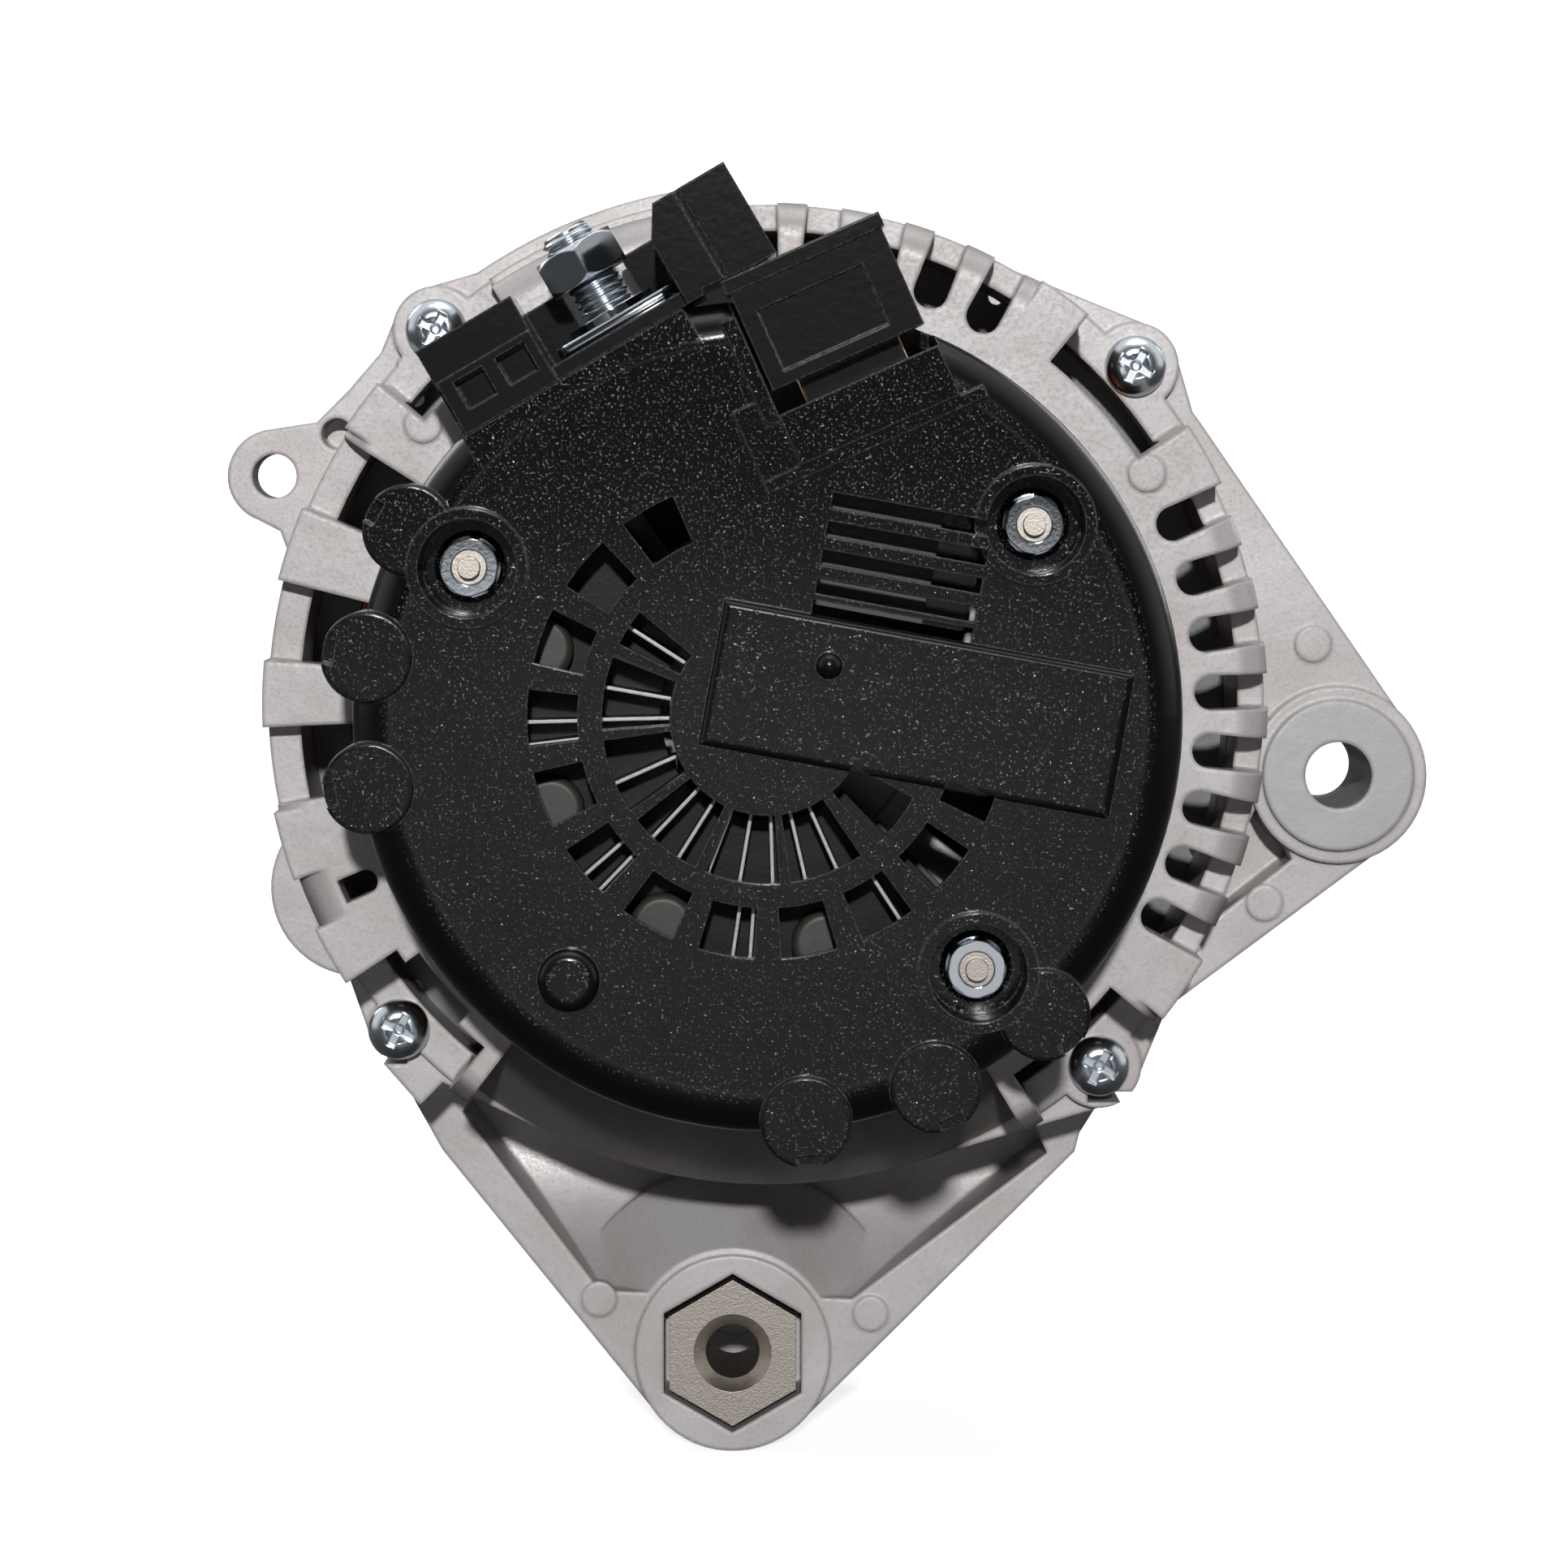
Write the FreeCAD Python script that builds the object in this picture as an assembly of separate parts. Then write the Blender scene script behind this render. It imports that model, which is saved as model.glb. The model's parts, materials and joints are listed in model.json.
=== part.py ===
"""A car alternator: rear cover and electrics, two cast brackets, stator, rotor, bearings and pulley.

Units are millimetres. +Y runs along the shaft from the rear cover to the pulley, +Z is up, and the origin
is on the shaft's axis in the middle of the pulley's belt track. Angles are in degrees, seen from the rear:
0 points along +X and they grow towards +Z. A rear view has +X to its right.
"""

import FreeCAD, Part
import os
from math import acos, atan2, cos, degrees, hypot, radians, sin, sqrt

from FreeCAD import Vector

# ---------------------------------------------------------------- driving dimensions

REAR_TO_BELT = 165.0            # rear cover's flat face to the middle of the belt track
FIT_GAP = 0.02                  # radial gap of a part that is held still in a bore
RUN_GAP = 0.05                  # radial gap of a part that turns or slides

stator_radius = 71.0
stator_bore = 53.6
rotor_radius = 53.0
casting_radius = 75.0           # outside of both brackets' walls
casting_wall = 4.0
bolt_circle = 75.9              # radius of the four through bolts
bolt_angles = (42.0, 132.0, 222.0, 312.0)
cover_radius = 59.2
terminal_tilt = 30.5            # the output terminal stands square to this angle
socket_tilt = 24.0              # the connector stands square to this angle
band_tilt = -10.4               # the brush holder and the raised band lie along this angle


def station(depth):
    """Y of a place that lies this far in front of the rear cover's flat face."""
    return depth - REAR_TO_BELT


# stations along the shaft, from the rear to the front
cover_face = station(0.0)
cover_rim = station(35.8)
bracket_face = station(36.0)
rear_bearing_near, rear_bearing_far = station(38.0), station(48.0)
rear_coil_end = station(52.0)
ear_seat = station(58.0)
lug_plate = station(60.0)
claw_rear = station(62.0)
core_near, core_far = station(70.0), station(104.0)
rear_split = station(72.0)      # the rear bracket's front edge
front_split = station(102.0)    # the front bracket's rear edge
claw_front = station(112.0)
front_coil_end = station(122.0)
arm_face = station(85.0)
boss_face = station(84.2)       # the raised ring round the pivot
front_bearing_near, front_bearing_far = station(131.0), station(145.0)
front_face = station(148.0)
pulley_half = 13.0
shaft_end = 22.0

# the sizes of the bearings, which are standard ones
rear_bearing = {"bore": 8.5, "outer": 17.5, "ball": 3.0, "pitch": 13.0, "count": 9, "race": 2.6}
front_bearing = {"bore": 8.5, "outer": 23.5, "ball": 4.75, "pitch": 16.0, "count": 8, "race": 3.6}

# the output terminal, in its own tilted frame: across is along the tilt, out points away from the shaft
stud_across, stud_station = 9.8, station(16.0)
stud_radius = 4.0
plate_out, plate_thick = 58.5, 1.8
washer_thick, washer_radius = 1.3, 6.8
nut_out, nut_height, nut_flats = 66.9, 5.5, 12.0
stud_out = 75.0

# the connector socket, in its own tilted frame
socket_left, socket_right = 19.5, 43.0
socket_low, socket_high = 42.0, 58.8
socket_near, socket_far = station(1.0), station(17.0)

# the two mounting lugs
upper_lug = (87.6, -12.0)
upper_lug_radius, upper_bore_radius = 13.6, 5.1
upper_lug_near, upper_lug_far = station(58.0), station(88.0)
pivot = (-5.5, -105.4)
pivot_radius = 15.5
pivot_gap_near, pivot_gap_far = station(107.0), station(130.0)
pivot_front = station(146.0)
sleeve_flats, pocket_flats = 20.1, 21.8
sleeve_journal, sleeve_step = 8.5, station(93.0)
sleeve_travel = 3.0

# the three studs that hold the rear cover
cover_stud_places = ((-42.6, 21.2), (38.0, 27.3), (29.8, -36.1))
cover_stud_radius = 2.5
cup_radius, cup_bore = 8.6, 7.0
cup_floor, post_top = station(9.0), station(11.0)

ALONG = Vector(0, 1, 0)
ORIGIN = Vector(0, 0, 0)


# ---------------------------------------------------------------- shapes in the frame

def polar(radius, angle):
    """X and Z of a place at this radius and angle."""
    return radius * cos(radians(angle)), radius * sin(radians(angle))


def tilted(across, out, tilt):
    """X and Z of a place in a frame turned by the tilt about the shaft."""
    a = radians(tilt)
    return across * cos(a) - out * sin(a), across * sin(a) + out * cos(a)


def cylinder(radius, near, far, place=(0.0, 0.0)):
    return Part.makeCylinder(radius, far - near, Vector(place[0], near, place[1]), ALONG)


def tube(outer, inner, near, far, place=(0.0, 0.0)):
    return cylinder(outer, near, far, place).cut(cylinder(inner, near - 1, far + 1, place))


def prism(corners, near, far):
    """A polygon of (X, Z) corners, drawn out from near to far."""
    points = [Vector(x, near, z) for x, z in corners]
    return Part.Face(Part.makePolygon(points + points[:1])).extrude(Vector(0, far - near, 0))


def turned(outline):
    """A solid of revolution. A step is (radius, y), or (radius, y, radius, y) for an arc by the first."""
    edges = []
    start = Vector(outline[0][0], outline[0][1], 0)
    last = start
    for step in list(outline[1:]) + [outline[0][:2]]:
        end = Vector(step[-2], step[-1], 0)
        if len(step) == 4:
            edges.append(Part.Arc(last, Vector(step[0], step[1], 0), end).toShape())
        elif (end - last).Length > 1e-6:
            edges.append(Part.makeLine(last, end))
        last = end
    return Part.Face(Part.Wire(edges)).revolve(ORIGIN, ALONG, 360)


def spun(shape, angle):
    """A copy turned by this angle about the shaft, in the sense of polar()."""
    copy = shape.copy()
    copy.rotate(ORIGIN, ALONG, -angle)
    return copy


def moved(shape, x, z):
    copy = shape.copy()
    copy.translate(Vector(x, 0, z))
    return copy


def block(left, right, low, high, near, far, tilt=0.0):
    """A box in a frame that is turned by the tilt about the shaft."""
    return spun(Part.makeBox(right - left, far - near, high - low, Vector(left, near, low)), tilt)


def wedge(angle, width, near, far, reach=120.0):
    """The pie slice of this width, in degrees, centred on this angle."""
    return prism([(0, 0), polar(reach, angle - width / 2), polar(reach, angle + width / 2)], near, far)


def sector(outer, inner, angle, width, near, far):
    """A piece of a ring, at most about 120 degrees wide."""
    return tube(outer, inner, near, far).common(wedge(angle, width, near - 1, far + 1, 3 * outer))


def horseshoe(outer, inner, first, last, near, far):
    """A piece of a ring from the first angle round to the last."""
    gap = 360.0 - (last - first)
    parts = 2 if gap > 110 else 1
    ring = tube(outer, inner, near, far)
    for k in range(parts):
        middle = last + gap * (k + 0.5) / parts
        ring = ring.cut(wedge(middle, gap / parts + 0.01, near - 1, far + 1, 3 * outer))
    return ring


def radial_slot(inner_end, outer_end, width, angle, near, far):
    """A slot along a radius, with a round inner end."""
    straight = block(inner_end + width / 2, outer_end, -width / 2, width / 2, near, far)
    rounded = cylinder(width / 2, near, far, (inner_end + width / 2, 0))
    return spun(straight.fuse(rounded), angle)


def hexagon(flats, near, far, place=(0.0, 0.0), turn=0.0):
    corner = flats / sqrt(3)
    corners = [(place[0] + x, place[1] + z) for x, z in (polar(corner, turn + 60 * k) for k in range(6))]
    return prism(corners, near, far)


def joined(shapes):
    """The shapes as one, with the seams between flush faces taken out where that leaves it sound."""
    whole = shapes[0].multiFuse(shapes[1:])
    clean = whole.copy().removeSplitter()
    return clean if clean.isValid() else whole


def group(shapes):
    return Part.makeCompound(shapes)


def cut_all(shape, tools):
    return shape.cut(list(tools))


def rounded_edges(shape, radius, wanted):
    """Fillets the edges that the test picks."""
    return shape.makeFillet(radius, [edge for edge in shape.Edges if wanted(edge)])


def outward(across, tilt, start, end, radius, y):
    """A cylinder that points away from the shaft, square to the tilt."""
    x, z = tilted(across, start, tilt)
    dx, dz = tilted(0.0, 1.0, tilt)
    return Part.makeCylinder(radius, end - start, Vector(x, y, z), Vector(dx, 0, dz))


# ---------------------------------------------------------------- rear cover

face_edge = 53.2                # where the flat face turns into the shoulder
face_thick = 2.4
shoulder_depth = 6.0
band_low, band_high, band_left, band_right = -5.4, 15.5, -9.0, 50.0
pad_circle, pad_radius = 57.5, 6.5
pad_angles = (152.4, 171.4, 190.0, 275.4, 294.5, 313.0)
vent_outer_ring = (34.1, 27.0)
vent_inner_ring = (23.5, 13.9)
louvre_rows = (16.6, 19.7, 23.8, 27.9, 32.0)
louvre_left, louvre_right, louvre_height = 3.4, 26.4, 2.2


def cover_shell():
    f, rim = cover_face, cover_rim
    bend_out = (face_edge + 0.72 * (cover_radius - face_edge), f + 0.24 * shoulder_depth)
    outside = turned([(0, f), (face_edge, f), bend_out + (cover_radius, f + shoulder_depth),
                      (cover_radius + 0.8, rim), (0, rim)])
    inner = cover_radius - 2.2
    bend_in = (inner - 1.4, f + face_thick + 1.6)
    inside = turned([(0, f + face_thick), (face_edge - 1.5, f + face_thick),
                     bend_in + (inner, f + face_thick + shoulder_depth),
                     (inner + 0.8, rim + 1), (0, rim + 1)])
    return outside, inside


def cover_pad(angle):
    place = polar(pad_circle, angle)
    pad = cylinder(pad_radius, cover_face - 0.8, post_top, place)
    pad = pad.makeFillet(0.5, [e for e in pad.Edges if abs(e.BoundBox.YMax - (cover_face - 0.8)) < 0.01
                               and e.BoundBox.XLength > pad_radius])
    notch = block(pad_circle + pad_radius - 1.9, pad_circle + pad_radius + 1, -1.75, 1.75,
                  cover_face - 2, cover_face + 2, angle)
    return pad.cut(notch)


def cover_vents():
    near, far = cover_face - 3, cover_face + face_thick + 0.5
    cuts = [sector(*vent_outer_ring, 120 + 20 * k, 13.5, near, far) for k in range(11)]
    cuts.append(sector(*vent_outer_ring, 337.6, 6.5, near, far))
    cuts += [sector(*vent_inner_ring, angle, 26, near, far) for angle in (171, 201, 231, 261, 291)]
    cuts.append(sector(*vent_inner_ring, 147, 13, near, far))
    cuts.append(sector(*vent_inner_ring, 321, 20, near, far))
    cuts += [block(louvre_left, louvre_right, row - louvre_height / 2, row + louvre_height / 2,
                   near, far, band_tilt) for row in louvre_rows]
    return cuts


def cover_flat():
    """What the flat under the output terminal takes off the round cover."""
    flat = block(-80, 19.0, plate_out - 2.4, 120, cover_face - 5, cover_rim + 5, terminal_tilt)
    return flat.cut(wedge(45, 100, cover_face - 6, cover_rim + 6))


def rear_cover():
    outside, inside = cover_shell()
    flat = cover_flat()
    collar_low = socket_low - 3.5
    mouth = block(socket_left - 0.6, socket_right + 0.6, collar_low, 90,
                  cover_face - 5, socket_far + 1, socket_tilt)
    skin = outside.cut([inside, flat])
    wall_behind_flat = outside.common(block(-80, 19.0, plate_out - 4.6, plate_out - 2.4,
                                            cover_face, cover_rim, terminal_tilt))
    shelf = block(block_left, 19.0, 40.0, plate_out - 2.4, cover_face, cover_face + shoulder_depth + 1,
                  terminal_tilt).common(cylinder(cover_radius, cover_face - 1, cover_rim))
    band = block(band_left, band_right, band_low, band_high, cover_face - 1.2, cover_face + 0.5, band_tilt)
    band = band.common(cylinder(face_edge - 0.6, cover_face - 2, cover_face + 2))
    band = rounded_edges(band, 1.0, lambda e: e.BoundBox.YMax < cover_face - 1.1)
    cups = [cylinder(cup_radius, cover_face - 1.0, post_top, place) for place in cover_stud_places]
    lip = block(socket_left - 0.7, socket_right + 0.4, collar_low - 7.8, collar_low,
                cover_face - 2.2, cover_face + 2, socket_tilt)
    lip = lip.fuse(block(socket_left - 6.5, socket_left - 0.7, collar_low - 7.8, collar_low + 3,
                         cover_face - 0.9, cover_face + 2, socket_tilt))
    lip = lip.fuse(block(socket_left - 2.9, socket_left - 0.7, collar_low - 1, socket_high - 5,
                         cover_face - 1.6, cover_face + 6, socket_tilt))
    ridge = block(socket_left - 6.5, socket_right + 4.0, collar_low - 9.6, collar_low - 7.8,
                  cover_face - 1.0, cover_face + 1, socket_tilt)
    dome = Part.makeSphere(2.0, Vector(8.7, cover_face - 0.7, 7.4))
    button = cylinder(4.4, cover_face - 2.4, cover_face + 1, (-28.2, -37.1))
    button = rounded_edges(button, 1.6, lambda e: e.BoundBox.YMax < cover_face - 2.3)
    raised = joined([skin, wall_behind_flat, shelf, band, dome, button, lip, ridge]
                    + cups + [cover_pad(angle) for angle in pad_angles])
    holes = [cylinder(cup_bore, cover_face - 3, cup_floor, place) for place in cover_stud_places]
    holes += [cylinder(cover_stud_radius + 0.3, cover_face - 3, post_top + 1, place)
              for place in cover_stud_places]
    return cut_all(raised, holes + cover_vents() + [mouth])


# ---------------------------------------------------------------- fasteners of the cover

def cover_studs():
    studs = []
    for place in cover_stud_places:
        shank = cylinder(cover_stud_radius, station(4.6), station(45.0), place)
        tip = cylinder(1.6, station(3.0), station(4.6), place)
        studs.append(joined([shank, tip]))
    return group(studs)


def cover_nuts():
    nuts = []
    for place in cover_stud_places:
        flange = Part.makeCone(4.4, 5.2, 1.6, Vector(place[0], cup_floor - 1.6, place[1]), ALONG)
        flats = hexagon(8.0, station(4.2), cup_floor - 1.2, place, 20.0)
        rounding = Part.makeCone(3.9, 6.6, 2.7, Vector(place[0], station(4.0), place[1]), ALONG)
        rounding = rounding.fuse(cylinder(6.6, station(6.7), cup_floor, place))
        nut = joined([flats.common(rounding), flange])
        nuts.append(nut.cut(cylinder(cover_stud_radius + FIT_GAP, station(2), station(12), place)))
    return group(nuts)


# ---------------------------------------------------------------- output terminal

block_left, block_right = -17.2, 34.6
bay_left, bay_right = -1.4, 20.0        # the open bay that the stud stands in
block_low, block_floor = plate_out - 2.2, plate_out - FIT_GAP
block_near, block_far = station(4.0), station(30.0)
left_top, flap_top, right_top, back_top = 70.5, 64.8, 71.2, 68.0
left_near, flap_near, right_near, back_near = station(9.0), station(3.0), station(2.0), station(26.5)
pocket_lefts, pocket_wide, pocket_low, pocket_high = (-14.4, -7.6), 4.6, 59.2, 63.6
chamfer_wide, chamfer_high = 3.5, 6.2
groove_left, groove_wide, groove_deep = 26.2, 0.8, 0.8
stud_clearance = 5.1


def terminal_block():
    """The insulator: a base on the bracket's flat with a walled bay for the output stud."""
    t = terminal_tilt
    base = block(block_left, block_right, block_low, block_floor, block_near, block_far, t)
    left = block(block_left, bay_left, block_low, left_top, left_near, block_far, t)
    flap = block(block_left + 0.6, bay_left, block_low, flap_top, flap_near, left_near, t)
    pockets = [block(edge, edge + pocket_wide, pocket_low, pocket_high, flap_near - 1, flap_near + 3.0, t)
               for edge in pocket_lefts]
    right = block(bay_right, block_right, block_low, right_top, right_near, block_far, t)
    above = right_top + 1
    corner = spun(prism([(bay_right - 1, right_top - chamfer_high), (bay_right + chamfer_wide, above),
                         (bay_right - 1, above)], right_near - 1, block_far + 1), t)
    groove = block(groove_left, groove_left + groove_wide, block_low, above, right_near - 1,
                   right_near + groove_deep, t)
    back = block(block_left, block_right, block_low, back_top, back_near, block_far, t)
    behind_stud = block(stud_across - stud_clearance, stud_across + stud_clearance, plate_out,
                        back_top + 2, back_near - 1, block_far + 1, t)
    stem = outward(stud_across, t, plate_out - 3, plate_out, stud_radius + 0.3, stud_station)
    solid = joined([base, left.fuse(flap).cut(pockets), right.cut([corner, groove]), back.cut(behind_stud)])
    clear_of_socket = block(socket_left - 3.2, 60, 30, socket_high + 0.6, cover_face, block_far + 1,
                            socket_tilt)
    return solid.cut([stem, clear_of_socket, cover_shell()[0].cut(cover_flat())])


def b_plus_stud():
    stem = outward(stud_across, terminal_tilt, plate_out - 2, stud_out, stud_radius, stud_station)
    plate = block(0.2, 19.2, plate_out, plate_out + plate_thick, station(7.0), station(25.0), terminal_tilt)
    plate = plate.makeFillet(2.0, [e for e in plate.Edges if len(e.Vertexes) == 2
                                   and abs(e.Length - plate_thick) < 0.01])
    return joined([plate, stem])


def b_plus_washer():
    start = plate_out + plate_thick
    end = start + washer_thick
    disc = outward(stud_across, terminal_tilt, start, end, washer_radius, stud_station)
    return disc.cut(outward(stud_across, terminal_tilt, start - 1, end + 1, stud_radius + 0.2, stud_station))


def b_plus_nut():
    """Built upright on the shaft's axis frame, then laid along the stud."""
    hexagonal = hexagon(nut_flats, 0, nut_height, turn=30.0)
    bevel = Part.makeCone(6.0, 6.0 + nut_height, nut_height, ORIGIN, ALONG)
    bevel_far = Part.makeCone(6.0 + nut_height, 6.0, nut_height, ORIGIN, ALONG)
    nut = hexagonal.common(bevel).common(bevel_far)
    nut = nut.cut(cylinder(stud_radius + RUN_GAP, -1, nut_height + 1))
    nut.rotate(ORIGIN, Vector(1, 0, 0), 90)
    nut.rotate(ORIGIN, ALONG, -terminal_tilt)
    x, z = tilted(stud_across, nut_out, terminal_tilt)
    nut.translate(Vector(x, stud_station, z))
    return nut


# ---------------------------------------------------------------- connector and regulator

pin_count = 4
pin_pitch = 4.6


def regulator_connector():
    body = block(socket_left, socket_right, socket_low, socket_high, socket_near, socket_far, socket_tilt)
    rim = block(socket_left - 0.5, socket_right + 0.5, socket_high - 1.8, socket_high + 0.4,
                socket_near - 0.6, socket_far + 0.4, socket_tilt)
    mouth = block(socket_left + 1.8, socket_right - 1.8, socket_low + 3.0, socket_high + 2,
                  socket_near + 1.8, socket_far - 1.8, socket_tilt)
    panel = block(socket_left + 2.6, socket_right - 4.6, socket_low + 2.0, socket_high - 5.5,
                  socket_near - 1, socket_near + 0.7, socket_tilt)
    tail = block(socket_left + 4, socket_right - 4, socket_low - 8.0, socket_low, socket_near + 5,
                 socket_far, socket_tilt)
    keys = [block(at, at + 1.2, socket_low + 3.0, socket_high - 3, socket_near + 1.8, socket_near + 3.0,
                  socket_tilt) for at in (socket_left + 7, socket_right - 8.2)]
    shell = joined([body, rim, tail]).cut([mouth, panel])
    shell = joined([shell] + keys)
    slots = [pin_blank(k, 0.02) for k in range(pin_count)]
    return shell.cut(slots)


def pin_blank(index, grow):
    middle = (socket_left + socket_right) / 2 + (index - (pin_count - 1) / 2) * pin_pitch
    y = (socket_near + socket_far) / 2 + 1.0
    return block(middle - 1.1 - grow, middle + 1.1 + grow, socket_low - 5.0, socket_low + 10.0,
                 y - 0.4 - grow, y + 0.4 + grow, socket_tilt)


def connector_pins():
    return group([pin_blank(k, 0.0) for k in range(pin_count)])


regulator_left, regulator_right, regulator_low, regulator_high = 1.5, 19.6, 16.6, 33.5
case_right, sink_low = 26.2, 21.8
sink_face, sink_back = station(7.5), station(13.0)
sink_near, sink_far = station(15.0), station(27.0)
sink_sheet, sink_ribs = 1.6, 5


def regulator_module():
    case = block(regulator_left, case_right, regulator_low, regulator_high, sink_near, sink_far,
                 band_tilt)
    return rounded_edges(case, 1.2, lambda e: e.BoundBox.YLength > 11)


def regulator_heatsink():
    """A plate under the louvres, held off the regulator's own plate by a row of ribs."""
    base = block(regulator_left, regulator_right, regulator_low, regulator_high, sink_back, sink_near,
                 band_tilt)
    face = block(regulator_left, regulator_right, sink_low, regulator_high, sink_face,
                 sink_face + sink_sheet, band_tilt)
    spacing = (regulator_right - regulator_left - sink_sheet) / (sink_ribs - 1)
    ribs = [block(regulator_left + spacing * k, regulator_left + spacing * k + sink_sheet, sink_low,
                  regulator_high, sink_face, sink_near, band_tilt) for k in range(sink_ribs)]
    return joined([base, face] + ribs)


# ---------------------------------------------------------------- rectifier

rectifier_first, rectifier_last = 128.0, 314.0
plus_plate_near, plus_plate_far = station(12.0), station(15.0)
minus_plate_near = station(33.0)
fin_near, fin_sheet = station(5.0), 0.55
inner_fins = [147.4 + 11.3 * k for k in range(15) if k != 4] + [187.0]
outer_fins = (181.5, 187.0, 221.0, 226.0, 261.7, 265.8, 303.0, 307.0)
inner_fin_reach, outer_fin_reach = (14.0, 24.0), (26.5, 36.0)
plus_diode_circle, plus_diode_radius, plus_diode_high = 34.0, 4.8, 3.4
plus_diode_angles = (164.0, 203.7, 243.7, 284.0)
minus_diode_circle, minus_diode_radius, minus_diode_high = 38.0, 5.4, 6.0
minus_diode_angles = (196.0, 228.0, 260.0, 292.0)
diode_lead = 0.7


def post_holes(near, far, radius=7.0):
    return [cylinder(radius, near, far, place) for place in cover_stud_places]


def fin(reach, angle):
    return block(reach[0], reach[1], -fin_sheet / 2, fin_sheet / 2, fin_near, plus_plate_near + 0.5, angle)


def rectifier_plus_plate():
    plate = horseshoe(52.0, 15.5, rectifier_first, rectifier_last, plus_plate_near, plus_plate_far)
    fins = [fin(inner_fin_reach, angle) for angle in inner_fins]
    fins += [fin(outer_fin_reach, angle) for angle in outer_fins]
    lead_holes = [cylinder(diode_lead + 0.5, plus_plate_near - 1, plus_plate_far + 1,
                           polar(plus_diode_circle, angle)) for angle in plus_diode_angles]
    return joined([plate] + fins).cut(post_holes(fin_near - 1, plus_plate_far + 1) + lead_holes
                                      + [terminal_room()])


def terminal_room():
    """The space that the output terminal and its flat take, with a little to spare."""
    return block(-60, 60, plate_out - 5.4, 120, station(-2), bracket_face, terminal_tilt)


def rectifier_minus_plate():
    plate = horseshoe(54.0, 24.0, rectifier_first, rectifier_last, minus_plate_near, bracket_face)
    return plate.cut(post_holes(minus_plate_near - 1, bracket_face + 1) + [terminal_room()])


def plus_diode(angle):
    """Its cup stands on the plate's rear face, and its lead goes forward through the plate."""
    place = polar(plus_diode_circle, angle)
    cup = cylinder(plus_diode_radius, plus_plate_near - plus_diode_high, plus_plate_near, place)
    cup = rounded_edges(cup, 1.2, lambda e: e.BoundBox.YMax < plus_plate_near - plus_diode_high + 0.1)
    return joined([cup, cylinder(diode_lead, plus_plate_near - 0.5, station(21.5), place)])


def minus_diode(angle):
    """Its cup stands on the minus plate, and its lead points back at the plus plate."""
    place = polar(minus_diode_circle, angle)
    top = minus_plate_near - minus_diode_high
    return joined([cylinder(minus_diode_radius, top, minus_plate_near, place),
                   cylinder(diode_lead, top - 4.0, top, place)])


def plus_diodes():
    return group([plus_diode(angle) for angle in plus_diode_angles])


def minus_diodes():
    return group([minus_diode(angle) for angle in minus_diode_angles])


def rectifier_terminal_ring():
    ring = horseshoe(31.0, 28.0, rectifier_first + 6, rectifier_last - 6, station(15.0), station(33.0))
    shelf = horseshoe(31.0, 25.0, rectifier_first + 6, rectifier_last - 6, station(22.0), station(26.0))
    return joined([ring, shelf])


# ---------------------------------------------------------------- brushes

ring_radius, ring_bore = 10.5, 8.4
ring_stations = (station(16.0), station(26.0))
ring_half = 3.2
brush_wide, brush_axial, brush_long = 6.0, 4.6, 14.0
holder_left, holder_right = 13.0, 39.0
brush_back = ring_radius + brush_long


def brush_blank(y, grow):
    return block(0, brush_back, -brush_wide / 2 - grow, brush_wide / 2 + grow,
                 y - brush_axial / 2 - grow, y + brush_axial / 2 + grow, band_tilt)


def brush(index):
    y = ring_stations[index]
    return brush_blank(y, 0.0).cut(cylinder(ring_radius + RUN_GAP, y - 10, y + 10))


def brush_holder():
    body = block(holder_left, holder_right, -6.2, 6.2, station(11.0), station(31.0), band_tilt)
    feet = block(holder_right - 6, holder_right + 8, -9.0, 9.0, station(27.0), station(31.0), band_tilt)
    channels = [block(holder_left - 1, holder_right - 2.0, -brush_wide / 2 - RUN_GAP,
                      brush_wide / 2 + RUN_GAP, y - brush_axial / 2 - RUN_GAP,
                      y + brush_axial / 2 + RUN_GAP, band_tilt) for y in ring_stations]
    return joined([body, feet]).cut(channels)


def brush_spring(index):
    """A compression spring between the brush's back and the end of its channel."""
    wire, coil = 0.3, 1.7
    start, end = brush_back + wire + 0.02, holder_right - 2.0 - wire - 0.02
    turns = 7
    helix = Part.makeHelix((end - start) / turns, end - start, coil)
    profile = Part.Wire(Part.makeCircle(wire, Vector(coil, 0, 0), ALONG))
    spring = Part.Wire(helix).makePipeShell([profile], True, True)
    spring.rotate(ORIGIN, ALONG, 90)
    spring.translate(Vector(start, ring_stations[index], 0))
    return spun(spring, band_tilt)


# ---------------------------------------------------------------- rear bracket

right_slots = [24.0 - 7.5 * k for k in range(8)]
top_slots = [60.9 + 7.5 * k for k in range(6)]
bottom_first, bottom_last = 233.0, 301.0        # where the bracket's corner is one long slope
slope_top, slope_end = 62.5, station(60.0)
slot_wide, slot_inner, slot_outer = 5.2, 63.6, 69.2
slot_floor, slot_far = station(47.0), station(55.0)
left_windows = (152.4, 170.3, 187.2)
window_wide, window_inner, window_outer = 9.2, 60.0, 70.2
ear_windows = ((41.9, 66.2, 11.3), (220.7, 63.7, 10.5))     # angle, inner radius and width
ear_window_outer = 70.2
square_blocks = ((31.5, 12.0), (141.0, 11.5), (161.4, 8.6), (178.8, 7.6), (196.4, 8.0), (211.0, 9.0),
                 (52.5, 9.0), (326.0, 9.0))
ear_room_inner, ear_room_wide = 66.2, 17.0
ear_hole, ear_hole_radius = (-75.8, 33.9), 3.4
locating_place, locating_radius, locating_end = (-66.2, 40.4), 2.4, station(67.0)
corner_round = 5.0
rear_ears, front_ears = (6.7, 6.7, 4.9, 6.6), (6.0, 6.0, 4.9, 5.6)
notch_low, notch_high = 5.7, 4.1
rear_hub_radius, hub_mouth = 23.0, 10.8
intake_angles = range(20, 380, 45)


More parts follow.
